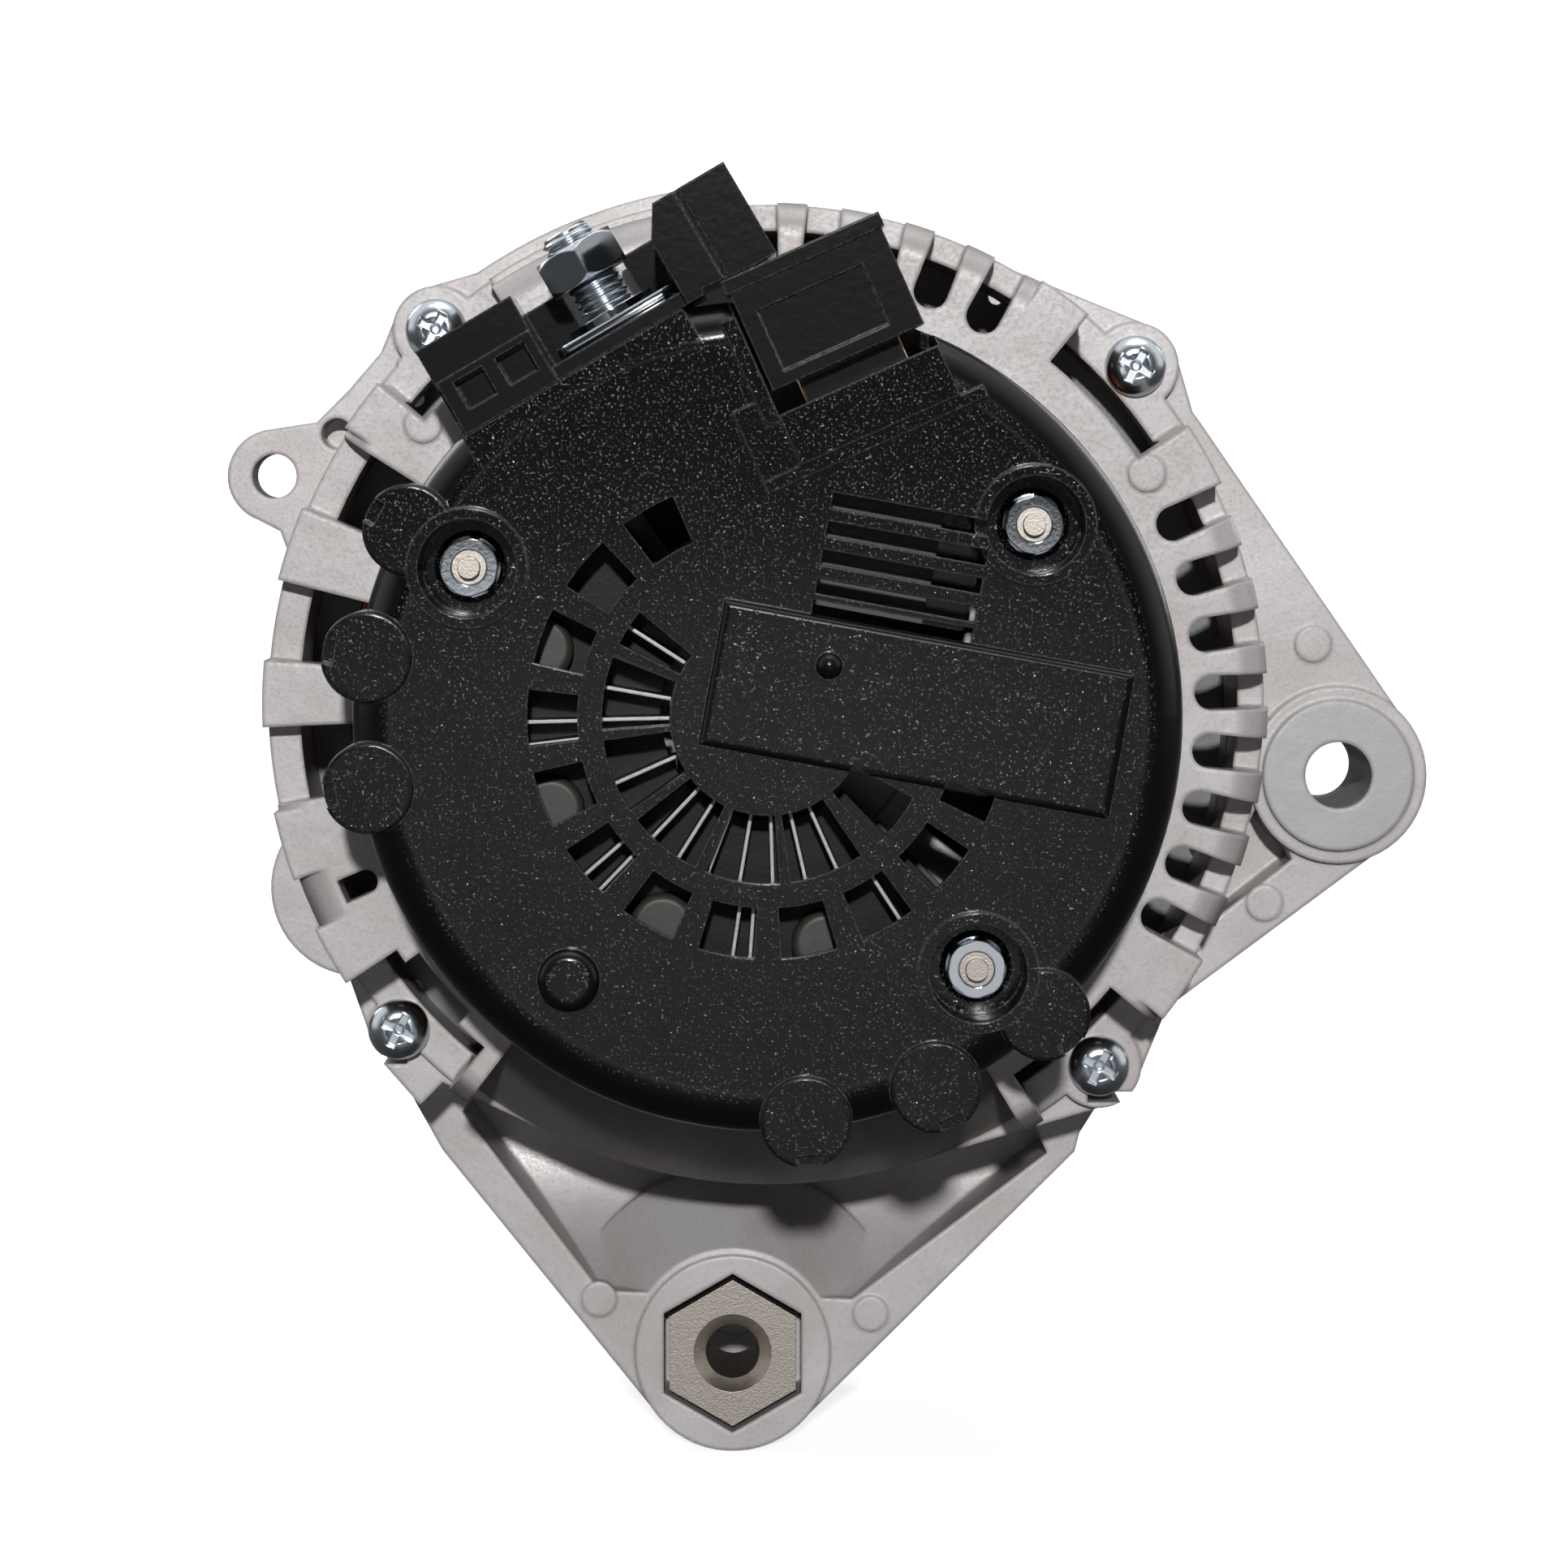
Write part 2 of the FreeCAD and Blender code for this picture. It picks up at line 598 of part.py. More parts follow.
def cast_bowl(face, split, inward):
    """A cup with a round outer corner; inward is +1 when its open side is in front of its face."""
    r, c, t = casting_radius, corner_round, casting_wall
    bend = c * (1 - cos(radians(45)))
    outside = turned([(0, face), (r - c, face), (r - bend, face + inward * bend, r, face + inward * c),
                      (r, split), (0, split)])
    spigot = inward * 2.0
    inside = turned([(0, face + inward * 5.5), (r - t - 2.5, face + inward * 5.5),
                     (r - t, face + inward * 8.0), (r - t, split - spigot),
                     (stator_radius + FIT_GAP, split - spigot), (stator_radius + FIT_GAP, split + spigot),
                     (0, split + spigot)])
    return outside.cut(inside)


def ear_hull(angle, radius, near, plate, far):
    """An ear at a through bolt, on a plate whose sides run straight into the round wall, touching both."""
    middle = polar(bolt_circle, angle)
    spread = degrees(acos((casting_radius - radius) / bolt_circle))
    corners = [polar(casting_radius, angle - spread), polar(casting_radius, angle + spread)]
    for side in (angle + spread, angle - spread):
        x, z = polar(radius, side)
        corners.append((middle[0] + x, middle[1] + z))
    return prism(corners, plate, far).fuse(cylinder(radius, near, far, middle))


def bolt_ears(near, plate, far, radii):
    return [ear_hull(angle, radius, near, plate, far) for angle, radius in zip(bolt_angles, radii)]


def lower_ear_notches():
    """A narrow bite out of each lower ear, just below the bolt's head."""
    left, right = polar(bolt_circle, bolt_angles[2]), polar(bolt_circle, bolt_angles[3])
    return [block(left[0] - 12, left[0] + 1.0, left[1] - notch_low, left[1] - notch_high,
                  ear_seat - 1, rear_split + 1),
            block(right[0] - 1.7, right[0] + 12, right[1] - notch_low, right[1] - notch_high,
                  ear_seat - 1, rear_split + 1)]


def lower_left_wing():
    """The left lower ear is a small one, with a wing below the bite."""
    x, z = polar(bolt_circle, bolt_angles[2])
    return prism([(x - 2.6, z - notch_low), (x + 4.0, z - 3.0), (x + 9.0, z - 6.0), (x + 3.0, z - 12.0)],
                 lug_plate, rear_split)


def lug_tangent(angle):
    """A place just inside the lug's rim, where an edge of the plate runs into it."""
    x, z = polar(upper_lug_radius - 0.3, angle)
    return upper_lug[0] + x, upper_lug[1] + z


def upper_lug_plate():
    """The plate from two bolt ears to the bored lug, with the lug itself."""
    high, low = lug_tangent(34.5), lug_tangent(-50.5)
    corners = [(55.5, 56.0), (66.0, 43.0), high, upper_lug, low, (56.7, -51.4),
               (50.0, -52.0), (66.0, -30.0), (71.5, 0.0), (62.0, 36.0)]
    plate = prism(corners, lug_plate, rear_split)
    lug = cylinder(upper_lug_radius, lug_plate - 1.2, upper_lug_far, upper_lug)
    face = cylinder(11.6, upper_lug_near, lug_plate, upper_lug)
    pocket = prism([(76.5, -14.5), (80.6, -25.0), (64.6, -37.4), (69.5, -28.0)], lug_plate - 1,
                   rear_split - 3)
    return [plate.cut(pocket), lug, face]


def bottom_slope():
    """At the bottom the corner is a long slope: what it takes off the round cup, and its own wall."""
    middle = (bottom_first + bottom_last) / 2
    span = wedge(middle, bottom_last - bottom_first, bracket_face - 2, slope_end + 6, 200.0)
    bulge = (slope_top + 5.5, bracket_face + 9.0)
    outside = turned([(slope_top, bracket_face), bulge + (casting_radius, slope_end),
                      (casting_radius + 6, slope_end), (casting_radius + 6, bracket_face - 1),
                      (slope_top, bracket_face - 1)])
    inside_face = bracket_face + 5.5
    wall = turned([(slope_top - 5, bracket_face), (slope_top, bracket_face),
                   bulge + (casting_radius, slope_end), (casting_radius, slope_end + 4),
                   (casting_radius - casting_wall, slope_end + 4), (casting_radius - casting_wall, slope_end),
                   (slope_top - 2, inside_face), (slope_top - 5, inside_face)])
    return outside.common(span), wall.common(span)


def side_ear():
    """The small ear at the left, for a wire clip or a brace."""
    corners = [(-77.6, 40.9), (-69.3, 42.2), (-64.3, 47.2), (-56.8, 56.0), (-50.0, 52.0), (-66.0, 22.0),
               (-72.8, 19.8), (-74.9, 25.4), (-79.9, 28.0)]
    plate = prism(corners, lug_plate, station(69.0))
    return plate.fuse(cylinder(7.2, lug_plate, station(69.0), ear_hole))


def rear_bracket():
    bowl = cast_bowl(bracket_face, rear_split, 1)
    hub = tube(rear_hub_radius, hub_mouth, station(34.0), station(49.0))
    posts = [cylinder(5.6, post_top, station(46.0), place) for place in cover_stud_places]
    swell = sector(79.0, 74.0, 118.0, 40.0, lug_plate, rear_split)
    swell_foot = sector(76.6, 73.0, 118.0, 40.0, station(50.0), lug_plate)
    squares = [sector(casting_radius + 0.3, 66.0, angle, wide, bracket_face, station(48.0))
               for angle, wide in square_blocks]
    marks = [cylinder(2.8, bracket_face - 0.3, bracket_face + 1, place)
             for place in ((-51.3, 41.8), (56.5, 34.5))]
    plate_marks = [cylinder(2.8, lug_plate - 0.3, lug_plate + 1, place)
                   for place in ((83.9, 8.1), (76.4, -31.7))]
    floors = [sector(76.2, ear_room_inner - 0.6, angle, ear_room_wide + 1.0, ear_seat, station(63.0))
              for angle in bolt_angles]
    solid = joined([bowl, hub, swell, swell_foot, side_ear()] + posts + squares + marks + upper_lug_plate()
                   + plate_marks + floors + bolt_ears(ear_seat, lug_plate, rear_split, rear_ears)
                   + [lower_left_wing()])
    cavity_near = station(41.5)
    cuts = []
    for angle in right_slots + top_slots:
        cuts.append(radial_slot(slot_inner, slot_outer, slot_wide, angle, station(30.0), slot_far))
        cuts.append(block(slot_outer - 0.5, 78.0, -slot_wide / 2, slot_wide / 2, station(30.0), slot_floor,
                          angle))
    cuts.append(radial_slot(slot_inner, slot_outer, 3.6, 203.8, station(30.0), slot_far))
    for angle in left_windows:
        cuts.append(sector(window_outer, window_inner, angle, window_wide, station(30.0), station(50.0)))
        cuts.append(sector(79.0, window_outer - 0.5, angle, window_wide, station(30.0), station(42.5)))
    cuts += [sector(ear_window_outer, inner, angle, wide, station(30.0), station(64.0))
             for angle, inner, wide in ear_windows]
    cuts += [sector(51.0, 27.0, angle, 27.0, station(30.0), cavity_near + 1) for angle in intake_angles
             if all(abs(angle % 360 - degrees(atan2(z, x)) % 360) > 18 for x, z in cover_stud_places)]
    cuts.append(cylinder(rear_bearing["outer"] + FIT_GAP, rear_bearing_near, station(52.0)))
    cuts.append(cylinder(hub_mouth, station(30.0), station(40.0)))
    cuts.append(cylinder(stator_radius + FIT_GAP, core_near, station(75.0)))
    cuts += [sector(90.0, ear_room_inner, a, ear_room_wide, station(30.0), ear_seat) for a in bolt_angles]
    cuts += [cylinder(2.75, station(50), station(80), polar(bolt_circle, a)) for a in bolt_angles]
    cuts += lower_ear_notches()
    cuts += [cylinder(cover_stud_radius + FIT_GAP, station(8), station(45.0), p)
             for p in cover_stud_places]
    cuts.append(cylinder(upper_bore_radius, station(50), station(100), upper_lug))
    cuts.append(cylinder(ear_hole_radius, station(50), station(80), ear_hole))
    cuts.append(cylinder(locating_radius, lug_plate, locating_end, locating_place))
    cuts += [cylinder(lead_radius + 1.2, station(30), station(46), polar(lead_circle, a))
             for a in lead_angles]
    cuts.append(turned([(0, station(46.0)), (casting_radius - casting_wall - 0.1, station(46.0)),
                        (casting_radius - casting_wall - 0.1, station(70.0)), (0, station(70.0))])
                .cut(cylinder(rear_hub_radius, station(30), station(49.0))))
    outside, wall = bottom_slope()
    return joined([cut_all(solid, cuts + [outside]), wall])


# ---------------------------------------------------------------- front bracket

lobe = (-66.0, -33.0)
arm_left = ((-57.4, -57.0), (-57.7, -62.1), (-55.7, -65.9), (-51.6, -73.2))
arm_right = ((48.8, -73.5), (49.6, -70.5), (52.5, -65.9), (57.0, -61.8))
web_left = ((-38.0, -52.0), (-48.4, -67.2), (-26.5, -95.6))
web_right = ((13.5, -96.9), (44.4, -73.7), (36.0, -55.0))
scoop_radius, scoop_height, scoop_centre = 31.0, -70.0, station(72.0)
boss_spread, boss_deep = 12.0, 13.0
fork_wide = 24.0                # half the width of the arm's fork


def touching(place, centre, radius, side):
    """Where a line from the place touches the circle, on its left (+1) or its right (-1)."""
    x, z = place[0] - centre[0], place[1] - centre[1]
    touch = degrees(atan2(z, x)) + side * degrees(acos(radius / hypot(x, z)))
    rim = polar(radius, touch)
    return centre[0] + rim[0], centre[1] + rim[1]


def inside_of_wall():
    """Keeps what is added outside a bracket's wall from reaching through it."""
    return cylinder(casting_radius - casting_wall / 2, front_split - 1, front_face + 1)


def pivot_arm():
    """The long arm: two ribs that run down to the pivot, with a scooped web between them."""
    outline = list(arm_left) + [touching(arm_left[-1], pivot, pivot_radius, 1), pivot,
                                touching(arm_right[0], pivot, pivot_radius, -1)] + list(arm_right)
    body = prism(outline + [(40.0, -50.0), (-45.0, -45.0)], arm_face, pivot_front)
    body = body.fuse(cylinder(pivot_radius, boss_face, pivot_front, pivot))
    body = body.cut([cylinder(stator_radius + 1.6, arm_face - 1, front_split), inside_of_wall()])
    scoop = Part.makeCylinder(scoop_radius, 120, Vector(-60, scoop_centre, scoop_height), Vector(1, 0, 0))
    reach = prism(web_left + web_right, arm_face - 8, station(110))
    boss = Part.makeCone(pivot_radius, pivot_radius + boss_spread, boss_deep,
                         Vector(pivot[0], arm_face - 1, pivot[1]), ALONG)
    boss = boss.fuse(cylinder(pivot_radius + boss_spread, arm_face + boss_deep - 1, station(110), pivot))
    left, right = pivot[0] - fork_wide, pivot[0] + fork_wide
    gap = block(left - 10, right + 10, -125, -86.5, pivot_gap_near, pivot_gap_far)
    waist = tube(140.0, casting_radius + 2.0, pivot_gap_near + 3, pivot_gap_far - 2)
    waist = waist.cut(block(left, right, -150, 0, pivot_gap_near, pivot_gap_far))
    front_pocket = prism([(-40.0, -76.5), (-26.0, -84.0), (14.0, -84.0), (35.0, -77.0)],
                         station(112.0), pivot_front + 1)
    front_pocket = front_pocket.cut(cylinder(casting_radius + 1.5, station(110), pivot_front + 2))
    return body.cut([scoop.common(reach).cut(boss), gap, waist, front_pocket])


def front_windows():
    cuts = [sector(66.0, 32.0, 10.0 + 30.0 * k, 17.0, station(130), station(150)) for k in range(12)]
    wall = []
    for k in range(44):
        angle = 5.0 + 360.0 / 44 * k
        if angle < 220 or angle > 320:
            if all(abs((angle - a + 180) % 360 - 180) > 6 for a in bolt_angles):
                wall.append(block(65.0, 78.0, -2.4, 2.4, station(122.0), station(141.0), angle))
    return cuts + wall


def front_bracket():
    bowl = cast_bowl(front_face, front_split, -1)
    hub = tube(30.0, 20.0, front_bearing_near, front_face)
    lobe_solid = cylinder(14.5, front_split, station(114.0), lobe).cut(inside_of_wall())
    marks = [cylinder(2.8, arm_face - 0.3, arm_face + 2, place) for place in ((-26.7, -96.9), (16.4, -99.2))]
    ears = bolt_ears(front_split, front_split, station(118.0), front_ears)
    solid = joined([bowl, hub, lobe_solid, pivot_arm()] + marks + ears)
    cuts = front_windows()
    cuts.append(cylinder(casting_radius - casting_wall, station(100.0), station(120.0)))
    cuts.append(cylinder(stator_radius + FIT_GAP, station(100.0), core_far))
    cuts.append(cylinder(front_bearing["outer"] + FIT_GAP, station(120), front_bearing_far))
    cuts.append(cylinder(15.0, station(120), station(150)))
    cuts += [cylinder(bolt_shank + FIT_GAP, station(80), station(113.0), polar(bolt_circle, a))
             for a in bolt_angles]
    cuts += [cylinder(1.5 + FIT_GAP, station(125), station(139.0), p) for p in retainer_places()]
    cuts.append(hexagon(pocket_flats, station(80), sleeve_step + sleeve_travel, pivot, 30.0))
    cuts.append(cylinder(sleeve_journal + RUN_GAP, station(80), station(110), pivot))
    cuts.append(cylinder(upper_bore_radius, station(120), station(150), pivot))
    return cut_all(solid, cuts)


def pivot_sleeve():
    head = hexagon(sleeve_flats, boss_face, sleeve_step, pivot, 30.0)
    journal = cylinder(sleeve_journal, sleeve_step, pivot_gap_near + 1.0, pivot)
    bore = cylinder(4.25, station(80), station(120), pivot)
    mouth = Part.makeCone(6.15, 4.25, 1.9, Vector(pivot[0], boss_face, pivot[1]), ALONG)
    return joined([head, journal]).cut([bore, mouth])


bolt_head_radius, bolt_head_high, bolt_shank = 4.7, 3.6, 2.5
recess_reach, recess_half, recess_deep = 2.7, 0.7, 2.0


def through_bolts():
    """Domed heads with a cross recess, and shanks that reach into the front bracket's ears."""
    top = ear_seat - bolt_head_high
    bolts = []
    for angle in bolt_angles:
        place = polar(bolt_circle, angle)
        head = cylinder(bolt_head_radius, top, ear_seat, place)
        head = rounded_edges(head, 2.9, lambda e: e.BoundBox.YMax < top + 0.1)
        shank = cylinder(bolt_shank, ear_seat, station(112.5), place)
        recess = [block(-recess_reach, recess_reach, -recess_half, recess_half, top - 1, top + recess_deep,
                        turn) for turn in (angle + 20, angle + 110)]
        recess.append(Part.makeCone(1.9, 0.6, recess_deep + 0.4, Vector(0, top, 0), ALONG))
        bolts.append(joined([head, shank]).cut([moved(tool, *place) for tool in recess]))
    return group(bolts)


def retainer_places():
    return [polar(27.0, 45 + 90 * k) for k in range(4)]


def bearing_retainer_plate():
    plate = tube(31.0, 17.5, station(128.0), front_bearing_near)
    corners = [block(-20, 20, 24.5, 40, station(120), station(140), 90 * k) for k in range(4)]
    holes = [cylinder(1.7, station(120), station(140), place) for place in retainer_places()]
    return plate.cut(corners + holes)


def retainer_screws():
    screws = []
    for place in retainer_places():
        head = cylinder(2.9, station(126.4), station(128.0), place)
        screws.append(joined([head, cylinder(1.5, station(128.0), station(138.0), place)]))
    return group(screws)


# ---------------------------------------------------------------- stator

slot_count = 36
slot_low, slot_high, slot_width = 54.6, 64.6, 3.4
liner = 0.3
crown_inner, crown_outer = 55.4, 66.5
lead_circle, lead_radius = 56.4, 0.9
lead_angles = (161.0, 179.0, 198.0)


def slot_box(grow, near, far, angle):
    """The room of one slot, less the given skin on its sides and ends."""
    half = slot_width / 2 - grow
    return block(slot_low + grow, slot_high - grow, -half, half, near, far, angle)


def slot_angles():
    return [360.0 / slot_count * k for k in range(slot_count)]


def stator_core():
    ring = tube(stator_radius, stator_bore, core_near, core_far)
    slots = [slot_box(0, core_near - 1, core_far + 1, a) for a in slot_angles()]
    mouths = [block(stator_bore - 2, slot_low + 1, -0.9, 0.9, core_near - 1, core_far + 1, a)
              for a in slot_angles()]
    grooves = [cylinder(1.2, core_near - 1, core_far + 1, polar(stator_radius + 0.3, 20 + 40 * k))
               for k in range(9)]
    return cut_all(ring, slots + mouths + grooves)


def crown(near, far):
    """The rounded ring of end turns at one end of the core."""
    middle, half = (crown_inner + crown_outer) / 2, (crown_outer - crown_inner) / 2
    base, top = near, far
    lean = 2.5 if far > near else -2.5
    return turned([(crown_inner + 1.2, base), (crown_inner, base + lean), (crown_inner, top - lean),
                   (middle - 0.6 * half, top), (middle + 0.6 * half, top), (crown_outer, top - lean),
                   (crown_outer, base + lean), (crown_outer - 1.2, base)])


def stator_winding():
    bars = [slot_box(liner, core_near - 1.5, core_far + 1.5, a) for a in slot_angles()]
    return joined([crown(core_near - 1.0, rear_coil_end), crown(core_far + 1.0, front_coil_end)] + bars)


def slot_liners():
    return group([slot_box(0, core_near, core_far, a).cut(slot_box(liner, core_near - 1, core_far + 1, a))
                  for a in slot_angles()])


def stator_leads():
    return group([cylinder(lead_radius, station(22.0), rear_coil_end + 2.0, polar(lead_circle, a))
                  .cut(crown(core_near - 1.0, rear_coil_end)) for a in lead_angles])


# ---------------------------------------------------------------- rotor

finger_count = 6
finger_low, core_radius, claw_disc = 42.5, 24.0, 11.0
middle_station = station(87.0)
coil_outer = 41.0


def claw(face, sense):
    """A pole disc with its half of the core and its tapering fingers."""
    near, far = sorted((face, face + sense * claw_disc))
    disc = cylinder(finger_low + 1.0, near, far)
    core_near_end, core_far_end = sorted((face, middle_station))
    core = cylinder(core_radius, core_near_end, core_far_end)
    root, tip, length = 12.6, 5.6, 45.0
    outline = [Vector(-root, face, 30), Vector(root, face, 30),
               Vector(root, face + sense * claw_disc, 30), Vector(tip, face + sense * length, 30),
               Vector(-tip, face + sense * length, 30), Vector(-root, face + sense * claw_disc, 30)]
    finger = Part.Face(Part.makePolygon(outline + outline[:1])).extrude(Vector(0, 0, 30))
    near_end, far_end = sorted((face, face + sense * length))
    finger = finger.common(tube(rotor_radius, finger_low, near_end, far_end))
    slope = turned([(rotor_radius + 5, face + sense * 46), (rotor_radius - 2.0, face + sense * 46),
                    (rotor_radius, face + sense * 38), (rotor_radius + 5, face + sense * 38)])
    finger = finger.cut(slope)
    turn = 0.0 if sense > 0 else 180.0 / finger_count
    fingers = [spun(finger, turn + 360.0 / finger_count * k) for k in range(finger_count)]
    notches = [spun(prism([(30.0, 0.0), (48.0, -12.5), (48.0, 12.5)], near - 1, far + 1),
                    turn + 90.0 + 360.0 / finger_count * (k + 0.5)) for k in range(finger_count)]
    whole = joined([disc.cut(notches), core] + fingers)
    return whole.cut(cylinder(shaft_middle + FIT_GAP, near - 40, far + 40))


shaft_middle = 10.0
ring_seat = 6.5


def rotor_shaft():
    return turned([(0, station(9.0)), (ring_seat, station(9.0)), (ring_seat, station(33.0)),
                   (rear_bearing["bore"], station(33.0)), (rear_bearing["bore"], rear_bearing_far),
                   (11.2, rear_bearing_far), (11.2, claw_rear - 1.2), (shaft_middle, claw_rear - 1.2),
                   (shaft_middle, claw_front + 1.2), (12.0, claw_front + 1.2), (12.0, front_bearing_near),
                   (front_bearing["bore"], front_bearing_near), (front_bearing["bore"], pulley_seat),
                   (8.0, pulley_seat), (8.0, shaft_end - 1.0), (7.0, shaft_end), (0, shaft_end)])


def slip_rings():
    return group([tube(ring_radius, ring_bore, y - ring_half, y + ring_half) for y in ring_stations])


def slip_ring_insulator():
    solid = cylinder(ring_radius - 0.6, station(11.0), station(31.0))
    rings = [tube(ring_radius + 1, ring_bore, y - ring_half, y + ring_half) for y in ring_stations]
    return solid.cut(rings + [cylinder(ring_seat + FIT_GAP, station(5), station(35))])


def coil_bobbin():
    near, far = claw_rear + claw_disc, claw_front - claw_disc
    outline = [(core_radius + FIT_GAP, near), (coil_outer, near), (coil_outer, near + 1.2),
               (core_radius + 1.5, near + 1.2), (core_radius + 1.5, far - 1.2), (coil_outer, far - 1.2),
               (coil_outer, far), (core_radius + FIT_GAP, far)]
    return turned(outline)


def field_coil():
    near, far = claw_rear + claw_disc + 1.2, claw_front - claw_disc - 1.2
    return tube(coil_outer - 0.6, core_radius + 1.5, near, far)


def fan(disc_near, sense, radius, blades):
    """A sheet fan on the claw's face; the sense says which way its blades stand."""
    sheet = 1.2
    near, far = sorted((disc_near, disc_near + sense * sheet))
    disc = cylinder(radius, near, far)
    blade_near, blade_far = sorted((disc_near + sense * (sheet - 0.2), disc_near + sense * 8.5))
    shapes = []
    for k in range(blades):
        ring = tube(34.0, 34.0 - sheet, blade_near, blade_far, (0.0, 34.0 - 6.0))
        piece = ring.common(tube(radius, 27.0, blade_near - 1, blade_far + 1))
        piece = piece.common(block(8, 60, -5, 60, blade_near - 1, blade_far + 1))
        shapes.append(spun(piece, 360.0 / blades * k))
    bites = [cylinder(7.5, near - 1, far + 1, polar(radius + 4.0, 360.0 / blades * (k + 0.75)))
             for k in range(blades)]
    return joined([disc.cut(bites)] + shapes).cut(cylinder(shaft_middle + 0.1, near - 20, far + 20))


def race(bearing, near, far, outer):
    middle = (near + far) / 2
    groove = Part.makeTorus(bearing["pitch"], bearing["ball"] + RUN_GAP, Vector(0, middle, 0), ALONG)
    if outer:
        ring = tube(bearing["outer"], bearing["outer"] - bearing["race"], near, far)
    else:
        ring = tube(bearing["bore"] + bearing["race"], bearing["bore"] + FIT_GAP, near, far)
    return ring.cut(groove)


def balls(bearing, near, far):
    middle = (near + far) / 2
    shapes = []
    for k in range(bearing["count"]):
        x, z = polar(bearing["pitch"], 360.0 / bearing["count"] * k)
        shapes.append(Part.makeSphere(bearing["ball"], Vector(x, middle, z)))
    return group(shapes)


def cage(bearing, near, far):
    middle = (near + far) / 2
    half = bearing["ball"] + 0.7
    ring = tube(bearing["pitch"] + 0.9, bearing["pitch"] - 0.9, middle - half, middle + half)
    pockets = []
    for k in range(bearing["count"]):
        x, z = polar(1.0, 360.0 / bearing["count"] * k)
        pockets.append(Part.makeCylinder(bearing["ball"] + RUN_GAP, bearing["pitch"] * 2,
                                         Vector(0, middle, 0), Vector(x, 0, z)))
    return ring.cut(pockets)


def front_spacer():
    return tube(13.0, front_bearing["bore"] + FIT_GAP, front_bearing_far, -pulley_half)


# ---------------------------------------------------------------- pulley

rib_count, rib_pitch, rib_depth = 6, 3.56, 3.2
pulley_radius = 28.0
pulley_seat = 5.0


def pulley():
    outline = [(front_bearing["bore"] + FIT_GAP, -pulley_half), (pulley_radius + 1.5, -pulley_half),
               (pulley_radius + 1.5, -pulley_half + 1.6)]
    start = -rib_count * rib_pitch / 2
    outline.append((pulley_radius, start))
    for k in range(rib_count):
        low = start + rib_pitch * k
        outline += [(pulley_radius, low + 0.5), (pulley_radius - rib_depth, low + rib_pitch / 2 - 0.2),
                    (pulley_radius - rib_depth, low + rib_pitch / 2 + 0.2),
                    (pulley_radius, low + rib_pitch - 0.5)]
    outline += [(pulley_radius, -start), (pulley_radius + 1.5, pulley_half - 1.6),
                (pulley_radius + 1.5, pulley_half), (20.5, pulley_half), (19.0, pulley_seat),
                (front_bearing["bore"] + FIT_GAP, pulley_seat)]
    return turned(outline)


def pulley_nut():
    near, far = pulley_seat, pulley_seat + 14.0
    flange = cylinder(15.5, near, near + 2.0)
    flats = hexagon(24.0, near + 2.0, far)
    chamfer = Part.makeCone(13.6, 12.0, 1.6, Vector(0, far - 1.6, 0), ALONG)
    chamfer = chamfer.fuse(cylinder(14.5, near, far - 1.6))
    return joined([flats.common(chamfer), flange]).cut(cylinder(8.0 + FIT_GAP, near - 1, far + 1))


# ---------------------------------------------------------------- the nodes

NODES = {
    "rear_cover": rear_cover, "cover_studs": cover_studs, "cover_nuts": cover_nuts,
    "terminal_block": terminal_block, "b_plus_stud": b_plus_stud, "b_plus_washer": b_plus_washer,
    "b_plus_nut": b_plus_nut, "regulator_connector": regulator_connector,
    "connector_pins": connector_pins, "regulator_module": regulator_module,
    "regulator_heatsink": regulator_heatsink, "rectifier_plus_plate": rectifier_plus_plate,
    "rectifier_minus_plate": rectifier_minus_plate, "plus_diodes": plus_diodes,
    "minus_diodes": minus_diodes, "rectifier_terminal_ring": rectifier_terminal_ring,
    "brush_holder": brush_holder,
    "brush_positive": lambda: brush(0), "brush_negative": lambda: brush(1),
    "brush_spring_positive": lambda: brush_spring(0), "brush_spring_negative": lambda: brush_spring(1),
    "rear_bracket": rear_bracket, "front_bracket": front_bracket, "pivot_sleeve": pivot_sleeve,
    "through_bolts": through_bolts, "bearing_retainer_plate": bearing_retainer_plate,
    "retainer_screws": retainer_screws, "stator_core": stator_core, "stator_winding": stator_winding,
    "slot_liners": slot_liners, "stator_leads": stator_leads, "rotor_shaft": rotor_shaft,
    "rear_pole_claw": lambda: claw(claw_rear, 1), "front_pole_claw": lambda: claw(claw_front, -1),
    "coil_bobbin": coil_bobbin, "field_coil": field_coil,
    "rear_fan": lambda: fan(claw_rear, -1, 50.0, 9), "front_fan": lambda: fan(claw_front, 1, 50.0, 11),
    "slip_rings": slip_rings, "slip_ring_insulator": slip_ring_insulator,
    "rear_bearing_outer_race": lambda: race(rear_bearing, rear_bearing_near, rear_bearing_far, True),
    "rear_bearing_inner_race": lambda: race(rear_bearing, rear_bearing_near, rear_bearing_far, False),
    "rear_bearing_balls": lambda: balls(rear_bearing, rear_bearing_near, rear_bearing_far),
    "rear_bearing_cage": lambda: cage(rear_bearing, rear_bearing_near, rear_bearing_far),
    "front_bearing_outer_race": lambda: race(front_bearing, front_bearing_near, front_bearing_far, True),
    "front_bearing_inner_race": lambda: race(front_bearing, front_bearing_near, front_bearing_far, False),
    "front_bearing_balls": lambda: balls(front_bearing, front_bearing_near, front_bearing_far),
    "front_bearing_cage": lambda: cage(front_bearing, front_bearing_near, front_bearing_far),
    "front_spacer": front_spacer, "pulley": pulley, "pulley_nut": pulley_nut,
}

os.makedirs("parts", exist_ok=True)
for name, build in NODES.items():
    shape = build()
    print(f"{name}: {len(shape.Solids)} solids, {shape.Volume:.0f} mm3, valid {shape.isValid()}")
    shape.exportStep(f"parts/{name}.step")
